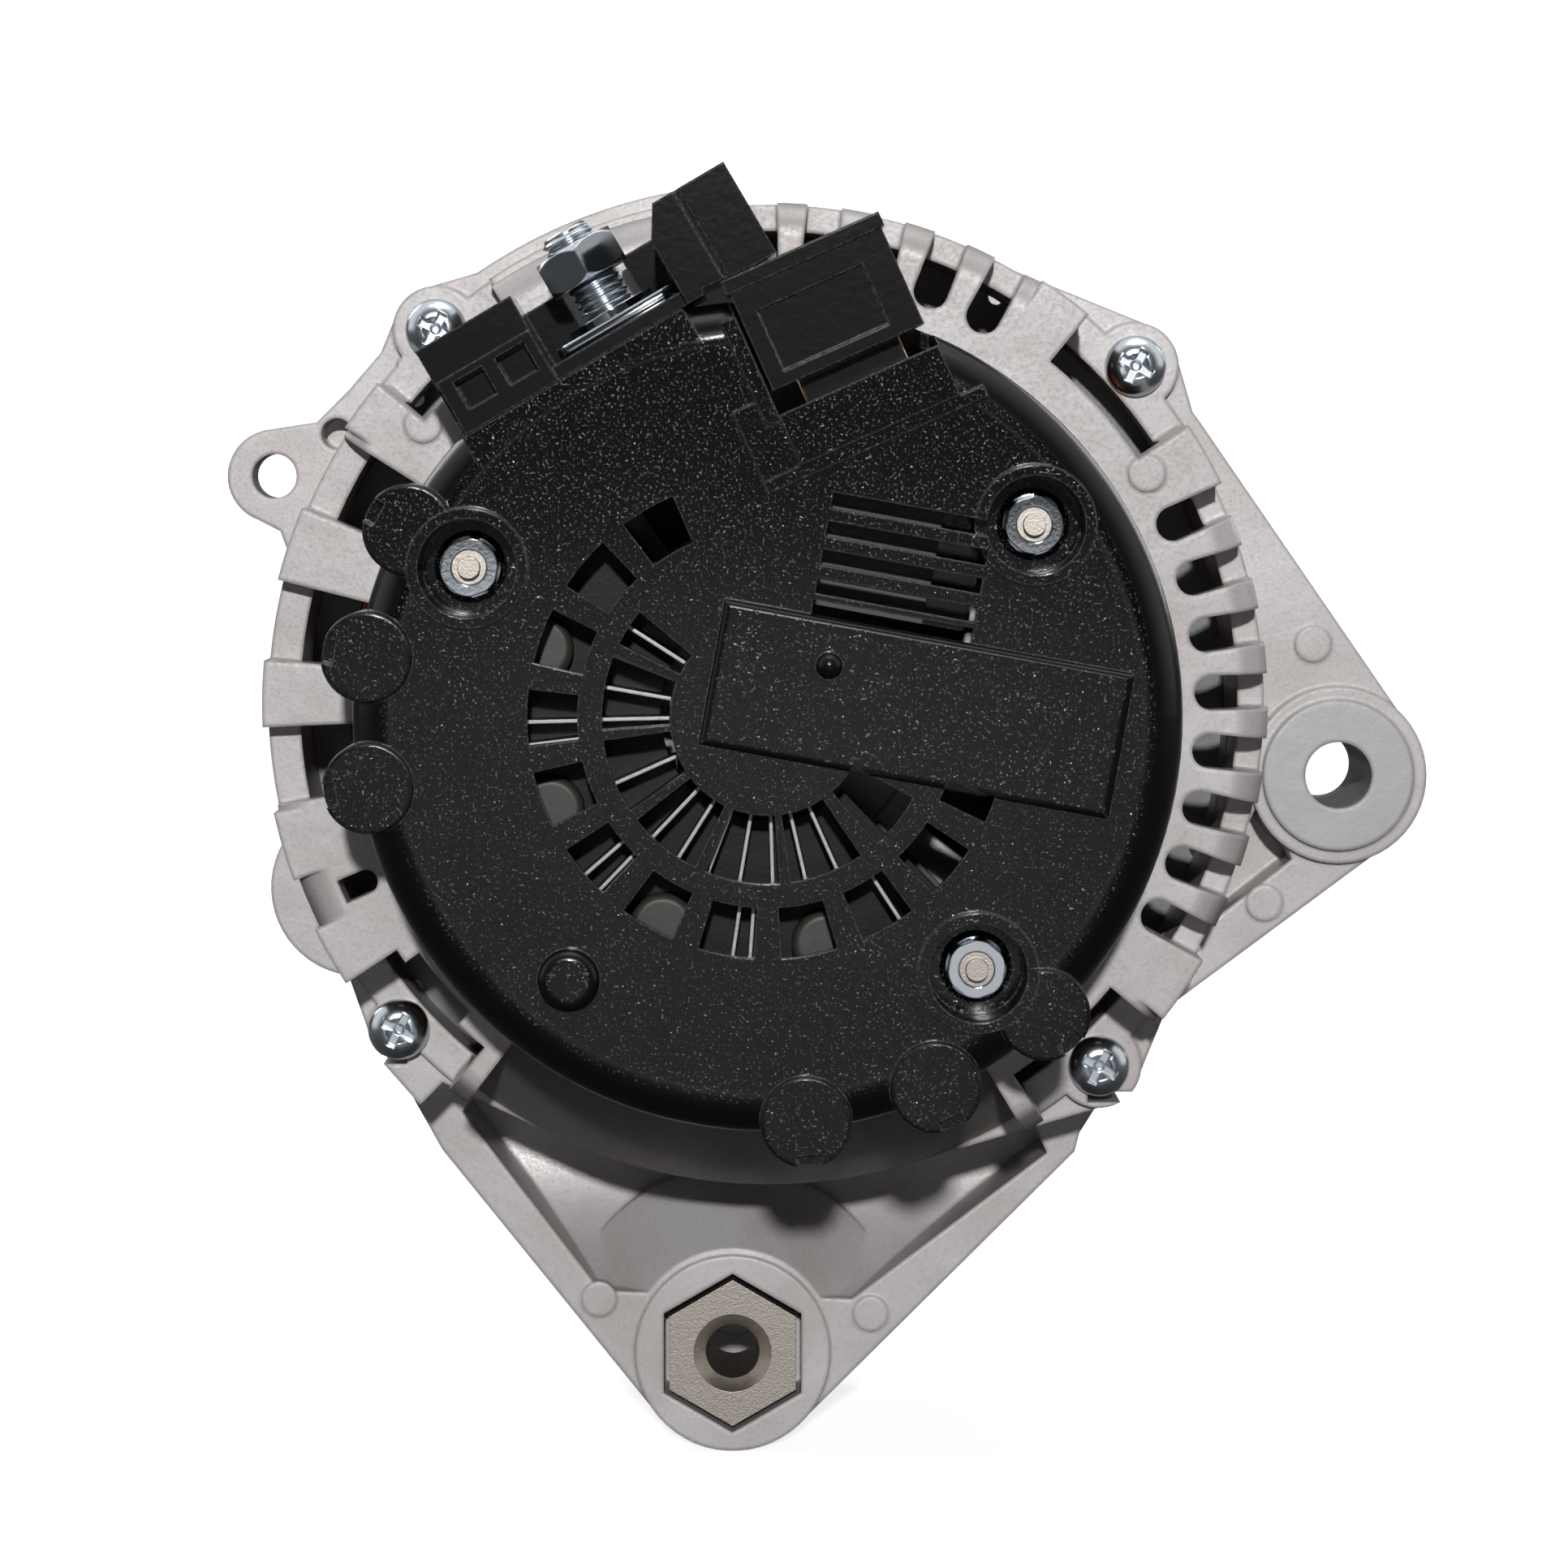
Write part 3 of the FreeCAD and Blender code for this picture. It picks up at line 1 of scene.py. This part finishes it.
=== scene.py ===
"""The looks of the car alternator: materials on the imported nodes, finer pieces, a pale studio and the camera.

Units are metres in the frame that the pack gives, and MM turns the object's millimetres into them.
"""
import bpy
import json
import math
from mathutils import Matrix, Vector


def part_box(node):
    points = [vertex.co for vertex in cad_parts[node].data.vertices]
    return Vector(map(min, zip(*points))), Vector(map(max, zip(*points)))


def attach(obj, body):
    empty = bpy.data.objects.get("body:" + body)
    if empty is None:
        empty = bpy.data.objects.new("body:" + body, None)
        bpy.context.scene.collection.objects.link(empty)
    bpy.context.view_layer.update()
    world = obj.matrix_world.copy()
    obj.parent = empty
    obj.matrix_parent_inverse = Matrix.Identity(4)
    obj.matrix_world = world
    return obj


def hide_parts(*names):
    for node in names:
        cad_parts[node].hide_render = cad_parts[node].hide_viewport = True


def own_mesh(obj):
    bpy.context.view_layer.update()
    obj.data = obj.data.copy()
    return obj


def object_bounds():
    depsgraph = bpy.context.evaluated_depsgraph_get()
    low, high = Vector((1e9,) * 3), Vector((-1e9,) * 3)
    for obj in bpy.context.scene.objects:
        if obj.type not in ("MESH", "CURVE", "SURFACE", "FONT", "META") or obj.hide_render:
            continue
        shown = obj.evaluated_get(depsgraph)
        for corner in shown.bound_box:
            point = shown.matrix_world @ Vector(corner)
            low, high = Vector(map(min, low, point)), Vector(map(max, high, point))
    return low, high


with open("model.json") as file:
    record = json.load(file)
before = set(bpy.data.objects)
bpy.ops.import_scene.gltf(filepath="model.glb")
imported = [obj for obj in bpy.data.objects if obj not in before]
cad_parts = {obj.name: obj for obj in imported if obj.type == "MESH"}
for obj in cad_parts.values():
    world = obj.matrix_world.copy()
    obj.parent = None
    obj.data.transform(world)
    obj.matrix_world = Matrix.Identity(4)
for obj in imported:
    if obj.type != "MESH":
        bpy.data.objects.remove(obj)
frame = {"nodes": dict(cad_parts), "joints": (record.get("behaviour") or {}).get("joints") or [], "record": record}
NODES = frame["nodes"]
RECORD = frame["record"]
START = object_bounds()

MM = 0.001
SHAFT = Vector((0.0, 1.0, 0.0))

# ---------------------------------------------------------------- places taken from the frame

MOUNTS = {mount["name"]: mount for mount in RECORD["mounts"]}
JOINTS = {joint["name"]: joint for joint in frame["joints"]}
SLOT_OF = {row["node"]: row["material_slot"] for row in RECORD["subparts"]}


def mount_place(name):
    return Vector(MOUNTS[name]["pos_m"])


STUD_TIP_BELOW_FACE = 5.0 * MM
COVER_FACE = mount_place("cover_stud_tips").y - STUD_TIP_BELOW_FACE
CENTRE = Vector((0.0, COVER_FACE, 0.0))
LUG = mount_place("upper_lug_bore")
LUG_FACE = LUG.y - MOUNTS["upper_lug_bore"]["dims"]["length_mm"] / 2 * MM


# ---------------------------------------------------------------- materials

def new_material(name):
    """An empty node material with its Principled shader."""
    material = bpy.data.materials.new(name)
    material.use_nodes = True
    tree = material.node_tree
    shader = tree.nodes["Principled BSDF"]
    return material, tree, shader


def add(tree, kind, **values):
    node = tree.nodes.new(kind)
    for key, value in values.items():
        if key in node.inputs:
            node.inputs[key].default_value = value
        else:
            setattr(node, key, value)
    return node


def coordinates(tree):
    """The object's own coordinates, in metres."""
    return add(tree, "ShaderNodeTexCoord").outputs["Object"]


def noise(tree, size, detail=2.0, roughness=0.5):
    """Noise whose lumps are about this big, in metres."""
    node = add(tree, "ShaderNodeTexNoise", Scale=1.0 / size, Detail=detail, Roughness=roughness)
    tree.links.new(coordinates(tree), node.inputs["Vector"])
    return node.outputs["Fac"]


def ramp(tree, source, low, high, first, last):
    """Takes the source from low..high to first..last."""
    node = add(tree, "ShaderNodeMapRange")
    node.inputs["From Min"].default_value = low
    node.inputs["From Max"].default_value = high
    node.inputs["To Min"].default_value = first
    node.inputs["To Max"].default_value = last
    tree.links.new(source, node.inputs["Value"])
    return node.outputs["Result"]


def math_node(tree, operation, first, second):
    """The operation on two sockets, or on a socket and a number."""
    node = add(tree, "ShaderNodeMath", operation=operation)
    for value, socket in zip((first, second), node.inputs):
        if isinstance(value, (int, float)):
            socket.default_value = value
        else:
            tree.links.new(value, socket)
    return node.outputs[0]


def colour_mix(tree, factor, first, last, blend="MIX"):
    """A mix of two colours, each of them a triple or a socket."""
    node = add(tree, "ShaderNodeMix", data_type="RGBA", blend_type=blend)
    tree.links.new(factor, node.inputs["Factor"])
    for value, socket in ((first, node.inputs[6]), (last, node.inputs[7])):
        if isinstance(value, tuple):
            socket.default_value = (*value, 1)
        else:
            tree.links.new(value, socket)
    return node.outputs[2]


def place_axes(tree):
    """The object coordinates as three sockets."""
    split = add(tree, "ShaderNodeSeparateXYZ")
    tree.links.new(coordinates(tree), split.inputs[0])
    return split.outputs


def near_axis(tree, place, radius, soft):
    """1 within this radius of an axis along the shaft's direction through the place, and 0 outside."""
    x, _, z = place_axes(tree)
    dx = math_node(tree, "SUBTRACT", x, place.x)
    dz = math_node(tree, "SUBTRACT", z, place.z)
    far = math_node(tree, "POWER", math_node(tree, "ADD", math_node(tree, "MULTIPLY", dx, dx),
                                             math_node(tree, "MULTIPLY", dz, dz)), 0.5)
    return ramp(tree, far, radius - soft, radius + soft, 1.0, 0.0)


def rounded_normal(tree, radius):
    """The normal as if the edges were rounded to this radius, in metres."""
    rounding = add(tree, "ShaderNodeBevel", samples=6)
    rounding.inputs["Radius"].default_value = radius
    return rounding.outputs["Normal"]


def roughen(tree, shader, layers, edge):
    """Bumps from (height source, height in metres) layers, over rounded edges of this radius in metres."""
    normal = rounded_normal(tree, edge)
    for source, height in layers:
        bump = add(tree, "ShaderNodeBump", Strength=1.0, Distance=height)
        tree.links.new(source, bump.inputs["Height"])
        tree.links.new(normal, bump.inputs["Normal"])
        normal = bump.outputs["Normal"]
    tree.links.new(normal, shader.inputs["Normal"])


def edge_mask(tree, radius):
    """1 on the edges, where a rounded normal of this radius leaves the true one, and 0 on flat ground."""
    flat, sharp = 0.995, 0.90
    dot = add(tree, "ShaderNodeVectorMath", operation="DOT_PRODUCT")
    tree.links.new(rounded_normal(tree, radius), dot.inputs[0])
    tree.links.new(add(tree, "ShaderNodeNewGeometry").outputs["True Normal"], dot.inputs[1])
    return ramp(tree, dot.outputs["Value"], flat, sharp, 0.0, 1.0)


def normal_axes(tree):
    """The normal's three parts as sockets."""
    split = add(tree, "ShaderNodeSeparateXYZ")
    tree.links.new(add(tree, "ShaderNodeNewGeometry").outputs["Normal"], split.inputs[0])
    return split.outputs


def cast_aluminium():
    """A tumbled casting: fine grain, soft blotches, painted shade on the undersides and a machined face at the
    lug.
    """
    material, tree, shader = new_material("cast_aluminium")
    blotch = noise(tree, 16 * MM, 3.0)
    lump = noise(tree, 3.0 * MM, 2.0)
    speck = noise(tree, 0.55 * MM, 2.0, 0.7)
    patches = ramp(tree, blotch, 0.35, 0.65, 0, 1)
    tone = colour_mix(tree, patches, (0.53, 0.495, 0.485), (0.61, 0.585, 0.585))
    tone = colour_mix(tree, ramp(tree, speck, 0.50, 0.80, 0.0, 0.45), tone, (0.62, 0.58, 0.57), "MULTIPLY")
    # Painted shade: surfaces that face downwards are darkened towards a near-black brown.
    painted_underside_shade = ramp(tree, normal_axes(tree)[2], -0.20, -0.45, 0.0, 0.75)
    tone = colour_mix(tree, painted_underside_shade, tone, (0.10, 0.09, 0.08))
    face_radius, face_rim = 11.6 * MM, 0.05 * MM
    machined = near_axis(tree, LUG, face_radius, face_rim)
    on_face = ramp(tree, place_axes(tree)[1], LUG_FACE + 0.3 * MM, LUG_FACE + 0.6 * MM, 1.0, 0.0)
    machined = math_node(tree, "MULTIPLY", machined, on_face)
    tone = colour_mix(tree, machined, tone, (0.47, 0.47, 0.47))
    tree.links.new(tone, shader.inputs["Base Color"])
    shader.inputs["Metallic"].default_value = 0.2
    tree.links.new(ramp(tree, speck, 0.3, 0.7, 0.38, 0.52), shader.inputs["Roughness"])
    roughen(tree, shader, [(blotch, 0.20 * MM), (lump, 0.03 * MM), (speck, 0.02 * MM)], edge=0.9 * MM)
    return material


PLASTIC_BLACK = (0.0035, 0.0035, 0.004)
# The first radius sets the width of the painted edge highlights on the black plastics; the second rounds their
# edges.
PAINTED_HIGHLIGHT_EDGE, PLASTIC_EDGE = 0.5 * MM, 0.45 * MM
PLASTIC_SPECULAR = 0.32


def black_plastic():
    """The cover: a dark face whose fine grains carry painted glints, and a smooth shoulder and wall."""
    material, tree, shader = new_material("black_plastic")
    grain = noise(tree, 0.42 * MM, 1.0)
    facing = ramp(tree, normal_axes(tree)[1], -0.97, -0.99, 0.0, 1.0)
    # Painted glints: the grain's peaks on the flat face are lightened in colour, and the same peaks give the bump.
    grain_peaks_and_painted_glints = math_node(tree, "MULTIPLY", ramp(tree, grain, 0.60, 0.74, 0.0, 1.0), facing)
    tone = colour_mix(tree, grain_peaks_and_painted_glints, PLASTIC_BLACK, (0.09, 0.09, 0.095))
    speckle = ramp(tree, grain, 0.3, 0.7, 0.2, 1.0)
    # Painted highlight: the rounded edges are lightened in speckles.
    painted_edge_highlight = math_node(tree, "MULTIPLY", edge_mask(tree, PAINTED_HIGHLIGHT_EDGE), speckle)
    tree.links.new(colour_mix(tree, painted_edge_highlight, tone, (0.14, 0.14, 0.145)), shader.inputs["Base Color"])
    tree.links.new(ramp(tree, facing, 0, 1, 0.26, 0.12), shader.inputs["Roughness"])
    shader.inputs["Specular IOR Level"].default_value = PLASTIC_SPECULAR
    roughen(tree, shader, [(grain_peaks_and_painted_glints, 0.03 * MM)], edge=PLASTIC_EDGE)
    return material


def black_moulding():
    """The terminal block and the connector: smooth, with speckled painted highlights along the edges."""
    material, tree, shader = new_material("black_moulding")
    speckle = ramp(tree, noise(tree, 0.5 * MM), 0.35, 0.65, 0.1, 1.0)
    # Painted highlight: the edges are lightened in speckles.
    painted_edge_highlight = math_node(tree, "MULTIPLY", edge_mask(tree, PAINTED_HIGHLIGHT_EDGE), speckle)
    tree.links.new(colour_mix(tree, painted_edge_highlight, PLASTIC_BLACK, (0.20, 0.20, 0.205)), shader.inputs["Base Color"])
    shader.inputs["Roughness"].default_value = 0.16
    shader.inputs["Specular IOR Level"].default_value = PLASTIC_SPECULAR
    roughen(tree, shader, [(noise(tree, 1.6 * MM), 0.02 * MM)], edge=PLASTIC_EDGE)
    return material


def metal(name, colour, roughness, height=0.01 * MM, metallic=1.0):
    """A metal with a fine grain of this height."""
    material, tree, shader = new_material(name)
    shader.inputs["Base Color"].default_value = (*colour, 1)
    shader.inputs["Metallic"].default_value = metallic
    source = noise(tree, 0.3 * MM)
    tree.links.new(ramp(tree, source, 0.3, 0.7, roughness * 0.85, roughness * 1.15),
                   shader.inputs["Roughness"])
    roughen(tree, shader, [(source, height)], edge=0.15 * MM)
    return material


def zinc_steel():
    """Bright zinc plate, and mirror-like on the nuts in the cover's cups."""
    material, tree, shader = new_material("zinc_steel")
    shader.inputs["Base Color"].default_value = (0.60, 0.65, 0.70, 1)
    shader.inputs["Metallic"].default_value = 1.0
    cup_floor = COVER_FACE + 11 * MM
    tree.links.new(ramp(tree, place_axes(tree)[1], cup_floor, cup_floor + 1 * MM, 0.08, 0.24),
                   shader.inputs["Roughness"])
    roughen(tree, shader, [(noise(tree, 0.5 * MM), 0.004 * MM)], edge=0.35 * MM)
    return material


def finned_aluminium():
    """The rectifier's plates: bare fin edges under the vents, with painted shade that darkens them to near black
    deeper in.
    """
    material, tree, shader = new_material("sheet_aluminium")
    # Painted shade: between these depths the colour goes from bare metal at the fin edges to near black behind the
    # vents.
    edge_depth, full_painted_shade_depth = COVER_FACE + 5.6 * MM, COVER_FACE + 7.5 * MM
    depth = ramp(tree, place_axes(tree)[1], edge_depth, full_painted_shade_depth, 0.0, 1.0)
    tree.links.new(colour_mix(tree, depth, (0.30, 0.31, 0.32), (0.010, 0.010, 0.010)),
                   shader.inputs["Base Color"])
    shader.inputs["Metallic"].default_value = 0.8
    shader.inputs["Roughness"].default_value = 0.4
    roughen(tree, shader, [(noise(tree, 0.6 * MM), 0.02 * MM)], edge=0.2 * MM)
    return material


def plain(name, colour, roughness):
    """A dull material with a slight unevenness."""
    material, tree, shader = new_material(name)
    shader.inputs["Base Color"].default_value = (*colour, 1)
    shader.inputs["Roughness"].default_value = roughness
    roughen(tree, shader, [(noise(tree, 0.8 * MM), 0.02 * MM)], edge=0.2 * MM)
    return material


MATERIALS = {
    "cast_aluminium": cast_aluminium(),
    "black_plastic": black_plastic(),
    "black_moulding": black_moulding(),
    "brown_plastic": plain("brown_plastic", (0.16, 0.09, 0.04), 0.45),
    "sheet_aluminium": finned_aluminium(),
    "dull_aluminium": plain("dull_aluminium", (0.040, 0.040, 0.033), 0.45),
    "zinc_steel": zinc_steel(),
    "plain_steel": metal("plain_steel", (0.34, 0.31, 0.28), 0.40, height=0.03 * MM),
    "bearing_steel": metal("bearing_steel", (0.78, 0.78, 0.79), 0.12),
    "black_steel": metal("black_steel", (0.035, 0.035, 0.04), 0.4, metallic=0.6),
    "core_steel": metal("core_steel", (0.16, 0.16, 0.17), 0.5, metallic=0.7),
    "copper_wire": metal("copper_wire", (0.36, 0.11, 0.045), 0.30),
    "ring_copper": metal("ring_copper", (0.78, 0.46, 0.30), 0.22),
    "carbon": plain("carbon", (0.05, 0.048, 0.045), 0.6),
    "liner_paper": plain("liner_paper", (0.75, 0.68, 0.5), 0.8),
    "grease_cage": metal("grease_cage", (0.72, 0.56, 0.26), 0.3),
}


def dress(obj, slot_name):
    obj.data.materials.clear()
    obj.data.materials.append(MATERIALS[slot_name])


# ---------------------------------------------------------------- meshes of the finer pieces

def add_skin(shape, rings):
    """Adds the skin over rings of vertices, and returns the numbers of the first and last ring's vertices."""
    vertices, faces = shape
    base, count = len(vertices), len(rings[0])
    for ring in rings:
        vertices.extend(ring)
    for k in range(len(rings) - 1):
        for n in range(count):
            first = base + k * count + n
            second = base + k * count + (n + 1) % count
            faces.append((first, second, second + count, first + count))
    last = base + (len(rings) - 1) * count
    return range(base, base + count), range(last, last + count)


def add_solid(shape, rings, flip=False):
    """Adds the skin over the rings and closes both ends flat; flip turns the ends' faces over."""
    start, end = add_skin(shape, rings)
    shape[1].append(tuple(start if flip else reversed(start)))
    shape[1].append(tuple(reversed(end) if flip else end))


def add_tube(shape, path, radius, sides=6):
    """Adds a round wire along the path, with flat ends."""
    rings, side = [], None
    for k, place in enumerate(path):
        ahead = (path[min(k + 1, len(path) - 1)] - path[max(k - 1, 0)]).normalized()
        side = ahead.orthogonal() if side is None else side
        side = (side - ahead * side.dot(ahead)).normalized()
        other = ahead.cross(side)
        turns = [2 * math.pi * n / sides for n in range(sides)]
        rings.append([place + radius * (side * math.cos(t) + other * math.sin(t)) for t in turns])
    add_solid(shape, rings)


def put_in_scene(name, data):
    thing = bpy.data.objects.new(name, data)
    bpy.context.scene.collection.objects.link(thing)
    return thing


def finish_piece(name, shape, body, node):
    """Makes the piece that stands for this CAD node and lets it ride on the node's body."""
    mesh = bpy.data.meshes.new(name)
    mesh.from_pydata([tuple(vertex) for vertex in shape[0]], [], shape[1])
    mesh.validate()
    piece = put_in_scene(name, mesh)
    for polygon in mesh.polygons:
        polygon.use_smooth = len(polygon.vertices) == 4
    slot_name = SLOT_OF[node]
    dress(piece, slot_name)
    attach(piece, body)
    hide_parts(node)
    return piece


def round_shaft(radius, y, angle):
    """A place at this radius and angle about the shaft."""
    return Vector((radius * math.cos(angle), y, radius * math.sin(angle)))


def winding():
    """Wires in every slot, and their end turns from each slot to the one three slots on."""
    core_low, core_high = (corner.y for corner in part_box("stator_core"))
    crown_low, crown_high = (corner.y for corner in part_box("stator_winding"))
    slots, layers, reach = 36, 8, 3
    wire, inner_layer, layer_gap = 0.57 * MM, 55.5 * MM, 1.17 * MM
    beside, crown_fall, swing = 0.62 * MM, 0.035, 0.25
    shape = ([], [])
    steps = 14
    for slot in range(slots):
        angle = 2 * math.pi * slot / slots
        for layer in range(layers):
            radius = inner_layer + layer_gap * layer
            for side in (-1, 1):
                shift = side * beside / radius
                add_tube(shape, [round_shaft(radius, y, angle + shift) for y in (core_low, core_high)], wire)
                if layer % 2:
                    continue
                for core_end, crown in ((core_low, crown_low), (core_high, crown_high)):
                    rise = crown - core_end - math.copysign(wire, crown - core_end)
                    rise *= 1.0 - crown_fall * layer
                    path = []
                    for k in range(steps + 1):
                        t = k / steps
                        ease = t * t * (3 - 2 * t)
                        share = swing * ease + (1 - swing) * t
                        turn = angle + shift + 2 * math.pi * reach / slots * share
                        out = radius + layer_gap * ease
                        path.append(round_shaft(out, core_end + rise * math.sin(math.pi * t) ** 0.7, turn))
                    add_tube(shape, path, wire)
    finish_piece("stator_winding_wires", shape, "housing", "stator_winding")


def field_turns():
    """The field coil, wound in turns that show on its outside."""
    low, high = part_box("field_coil")
    outer, inner = high.x, 25.55 * MM
    turns = 28
    pitch = (high.y - low.y) / turns
    outline = [(inner, low.y)]
    for k in range(turns):
        for share in (0.04, 0.25, 0.5, 0.75, 0.96):
            bulge = math.sqrt(max(0.0, 1 - (2 * share - 1) ** 2))
            outline.append((outer - (1 - bulge) * pitch / 2, low.y + (k + share) * pitch))
    outline += [(inner, high.y), (inner, low.y)]
    around = 96
    rings = [[round_shaft(r, y, 2 * math.pi * n / around) for n in range(around)] for r, y in outline]
    shape = ([], [])
    add_skin(shape, rings)
    finish_piece("field_coil_turns", shape, "rotor", "field_coil")


def brush_spring(sign):
    """A compression spring along its brush's slide, coiled between the ends of its node."""
    node, joint = "brush_spring_" + sign, sign + "_brush_slide"
    along = Vector(JOINTS[joint]["axis"])
    reaches = [along.dot(vertex.co) for vertex in NODES[node].data.vertices]
    wire, coil, turns, sides = 0.3 * MM, 1.7 * MM, 7, 10
    start, end = min(reaches) + wire, max(reaches) - wire
    low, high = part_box(node)
    axis_y = (low.y + high.y) / 2
    across = along.cross(SHAFT)
    steps = 22 * turns
    path = []
    for k in range(steps + 1):
        turn = 2 * math.pi * turns * k / steps
        centre = along * (start + (end - start) * k / steps) + Vector((0, axis_y, 0))
        path.append(centre + coil * (across * math.cos(turn) + SHAFT * math.sin(turn)))
    shape = ([], [])
    add_tube(shape, path, wire, sides)
    spring = finish_piece("spring_" + sign, shape, "housing", node)
    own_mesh(spring)


def output_stud():
    """The threaded output stud on its plate."""
    mount = MOUNTS["b_plus_stud"]
    along = Vector(mount["axis"])
    length, radius = mount["dims"]["length_mm"] * MM, mount["dims"]["r_mm"] * MM
    across = along.cross(SHAFT).normalized()
    start = mount_place("b_plus_stud") - along * length / 2
    pitch, depth, point, root = 1.25 * MM, 0.72 * MM, 0.9 * MM, 1.0 * MM
    around, rings_per_turn = 40, 8
    shape = ([], [])
    rings = []
    steps = int(length / pitch * rings_per_turn)
    for k in range(-2, steps + 1):
        far = max(0.0, length * k / steps)
        chamfer = max(0.0, far - length + point)
        ring = []
        for n in range(around):
            phase = far / pitch - n / around
            groove = depth * (1 - abs(2 * (phase - math.floor(phase)) - 1)) * min(1.0, far / pitch)
            out = min(radius - groove, radius - chamfer)
            turn = 2 * math.pi * n / around
            ring.append(start + along * (far if k >= 0 else -root) +
                        out * (across * math.cos(turn) + SHAFT * math.sin(turn)))
        rings.append(ring)
    add_solid(shape, rings)
    add_plate(shape, start, along, across)
    finish_piece("output_stud_and_plate", shape, "housing", "b_plus_stud")


def add_plate(shape, top, along, across):
    """The square plate under the washer, with round corners and soft rims; top is on its outer face."""
    half_wide, half_deep, thick, corner, soft = 9.5 * MM, 9.0 * MM, 1.8 * MM, 2.0 * MM, 0.25 * MM
    around = 32
    rings = []
    for drop, shrink in ((0, soft * 6), (0, soft), (soft, 0), (thick - soft, 0), (thick, soft)):
        ring = []
        for k in range(around):
            turn = 2 * math.pi * (k + 0.5) / around
            u, v = math.cos(turn), math.sin(turn)
            x = math.copysign(half_wide - corner, u) + (corner - shrink) * u
            y = math.copysign(half_deep - corner, v) + (corner - shrink) * v
            ring.append(top - along * drop + across * x + SHAFT * y)
        rings.append(ring)
    add_solid(shape, rings, flip=True)


for node_name, node in NODES.items():
    dress(node, SLOT_OF[node_name])
winding()
field_turns()
brush_spring("positive")
brush_spring("negative")
output_stud()


# ---------------------------------------------------------------- studio

def area_light(name, place, size, power):
    """A soft rectangular light that points at the cover's centre, its power in watts."""
    light = bpy.data.lights.new(name, "AREA")
    light.shape = "RECTANGLE"
    light.size, light.size_y = size
    light.energy = power
    lamp = put_in_scene(name, light)
    lamp.location = place
    lamp.rotation_euler = (CENTRE - Vector(place)).to_track_quat("-Z", "Y").to_euler()


def key_light():
    """A small strong light high behind the camera, which throws the cover's shadow on the arm."""
    rise = math.radians(15.0)
    light = bpy.data.lights.new("key", "SUN")
    light.angle = math.radians(2.2)
    light.energy = 1.85
    lamp = put_in_scene("key", light)
    lamp.rotation_euler = Vector((0.0, math.cos(rise), -math.sin(rise))).to_track_quat("-Z", "Y").to_euler()


def floor():
    """A sweep of pale floor that runs up behind the object, and is plain white to the camera."""
    lowest = START[0].z
    reach, rise, back, bend = 6.0, 3.0, 1.4, 0.8
    steps = 12
    rows = [(-reach, lowest), (back, lowest)]
    for k in range(1, steps + 1):
        turn = math.pi / 2 * k / steps
        rows.append((back + bend * math.sin(turn), lowest + bend * (1 - math.cos(turn))))
    rows.append((back + bend, lowest + rise))
    vertices = [(x, y, z) for y, z in rows for x in (-reach, reach)]
    faces = [(2 * k, 2 * k + 1, 2 * k + 3, 2 * k + 2) for k in range(len(rows) - 1)]
    mesh = bpy.data.meshes.new("floor")
    mesh.from_pydata(vertices, [], faces)
    sweep = put_in_scene("floor", mesh)
    for polygon in mesh.polygons:
        polygon.use_smooth = True
    material, tree, shader = new_material("pale_floor")
    seen = add(tree, "ShaderNodeLightPath").outputs["Is Camera Ray"]
    shade = colour_mix(tree, seen, (0.06, 0.06, 0.06), (0.95, 0.95, 0.95))
    tree.links.new(shade, shader.inputs["Base Color"])
    shader.inputs["Roughness"].default_value = 0.7
    shader.inputs["Emission Color"].default_value = (1, 1, 1, 1)
    tree.links.new(ramp(tree, seen, 0, 1, 0.0, 0.75), shader.inputs["Emission Strength"])
    mesh.materials.append(material)


def surroundings():
    """White to the camera, dim to dull surfaces, and to glossy ones bright but for the back and below."""
    world = bpy.data.worlds.new("studio")
    world.use_nodes = True
    tree = world.node_tree
    path = add(tree, "ShaderNodeLightPath")
    direction = add(tree, "ShaderNodeTexCoord").outputs["Generated"]
    split = add(tree, "ShaderNodeSeparateXYZ")
    tree.links.new(direction, split.inputs[0])
    sides = ramp(tree, split.outputs["Y"], -0.75, -0.25, 0.03, 1.0)
    above = ramp(tree, split.outputs["Z"], -0.35, 0.10, 0.03, 0.9)
    glossy = math_node(tree, "MULTIPLY", sides, above)
    strength = math_node(tree, "MULTIPLY", glossy, path.outputs["Is Glossy Ray"])
    strength = math_node(tree, "MAXIMUM", strength, path.outputs["Is Camera Ray"])
    strength = math_node(tree, "MAXIMUM", strength, 0.01)
    background = tree.nodes["Background"]
    background.inputs["Color"].default_value = (1, 1, 1, 1)
    tree.links.new(strength, background.inputs["Strength"])
    bpy.context.scene.world = world


def camera():
    """The view from the rear: level, behind the cover and above the shaft, its frame shifted down."""
    aside, behind, above = -0.7 * MM, -700.0 * MM, 38.1 * MM
    data = bpy.data.cameras.new("camera")
    data.lens, data.sensor_width = 113.48, 36.0
    data.shift_x, data.shift_y = 0.0135, -0.2138
    data.clip_start, data.clip_end = 0.05, 20.0
    eye = put_in_scene("camera", data)
    eye.location = CENTRE + Vector((aside, behind, above))
    eye.rotation_euler = SHAFT.to_track_quat("-Z", "Y").to_euler()
    bpy.context.scene.camera = eye


key_light()
area_light("top", (0.1, -0.25, 1.2), (0.9, 0.7), 4)
area_light("front_left", (-1.1, 1.0, 0.9), (0.8, 0.8), 7)
area_light("front_right", (1.1, 1.1, 0.6), (0.8, 0.8), 5)
area_light("low_left", (-1.3, -0.3, -0.55), (0.25, 0.9), 1.0)
floor()
surroundings()
camera()
bpy.context.scene.view_settings.view_transform = "Standard"
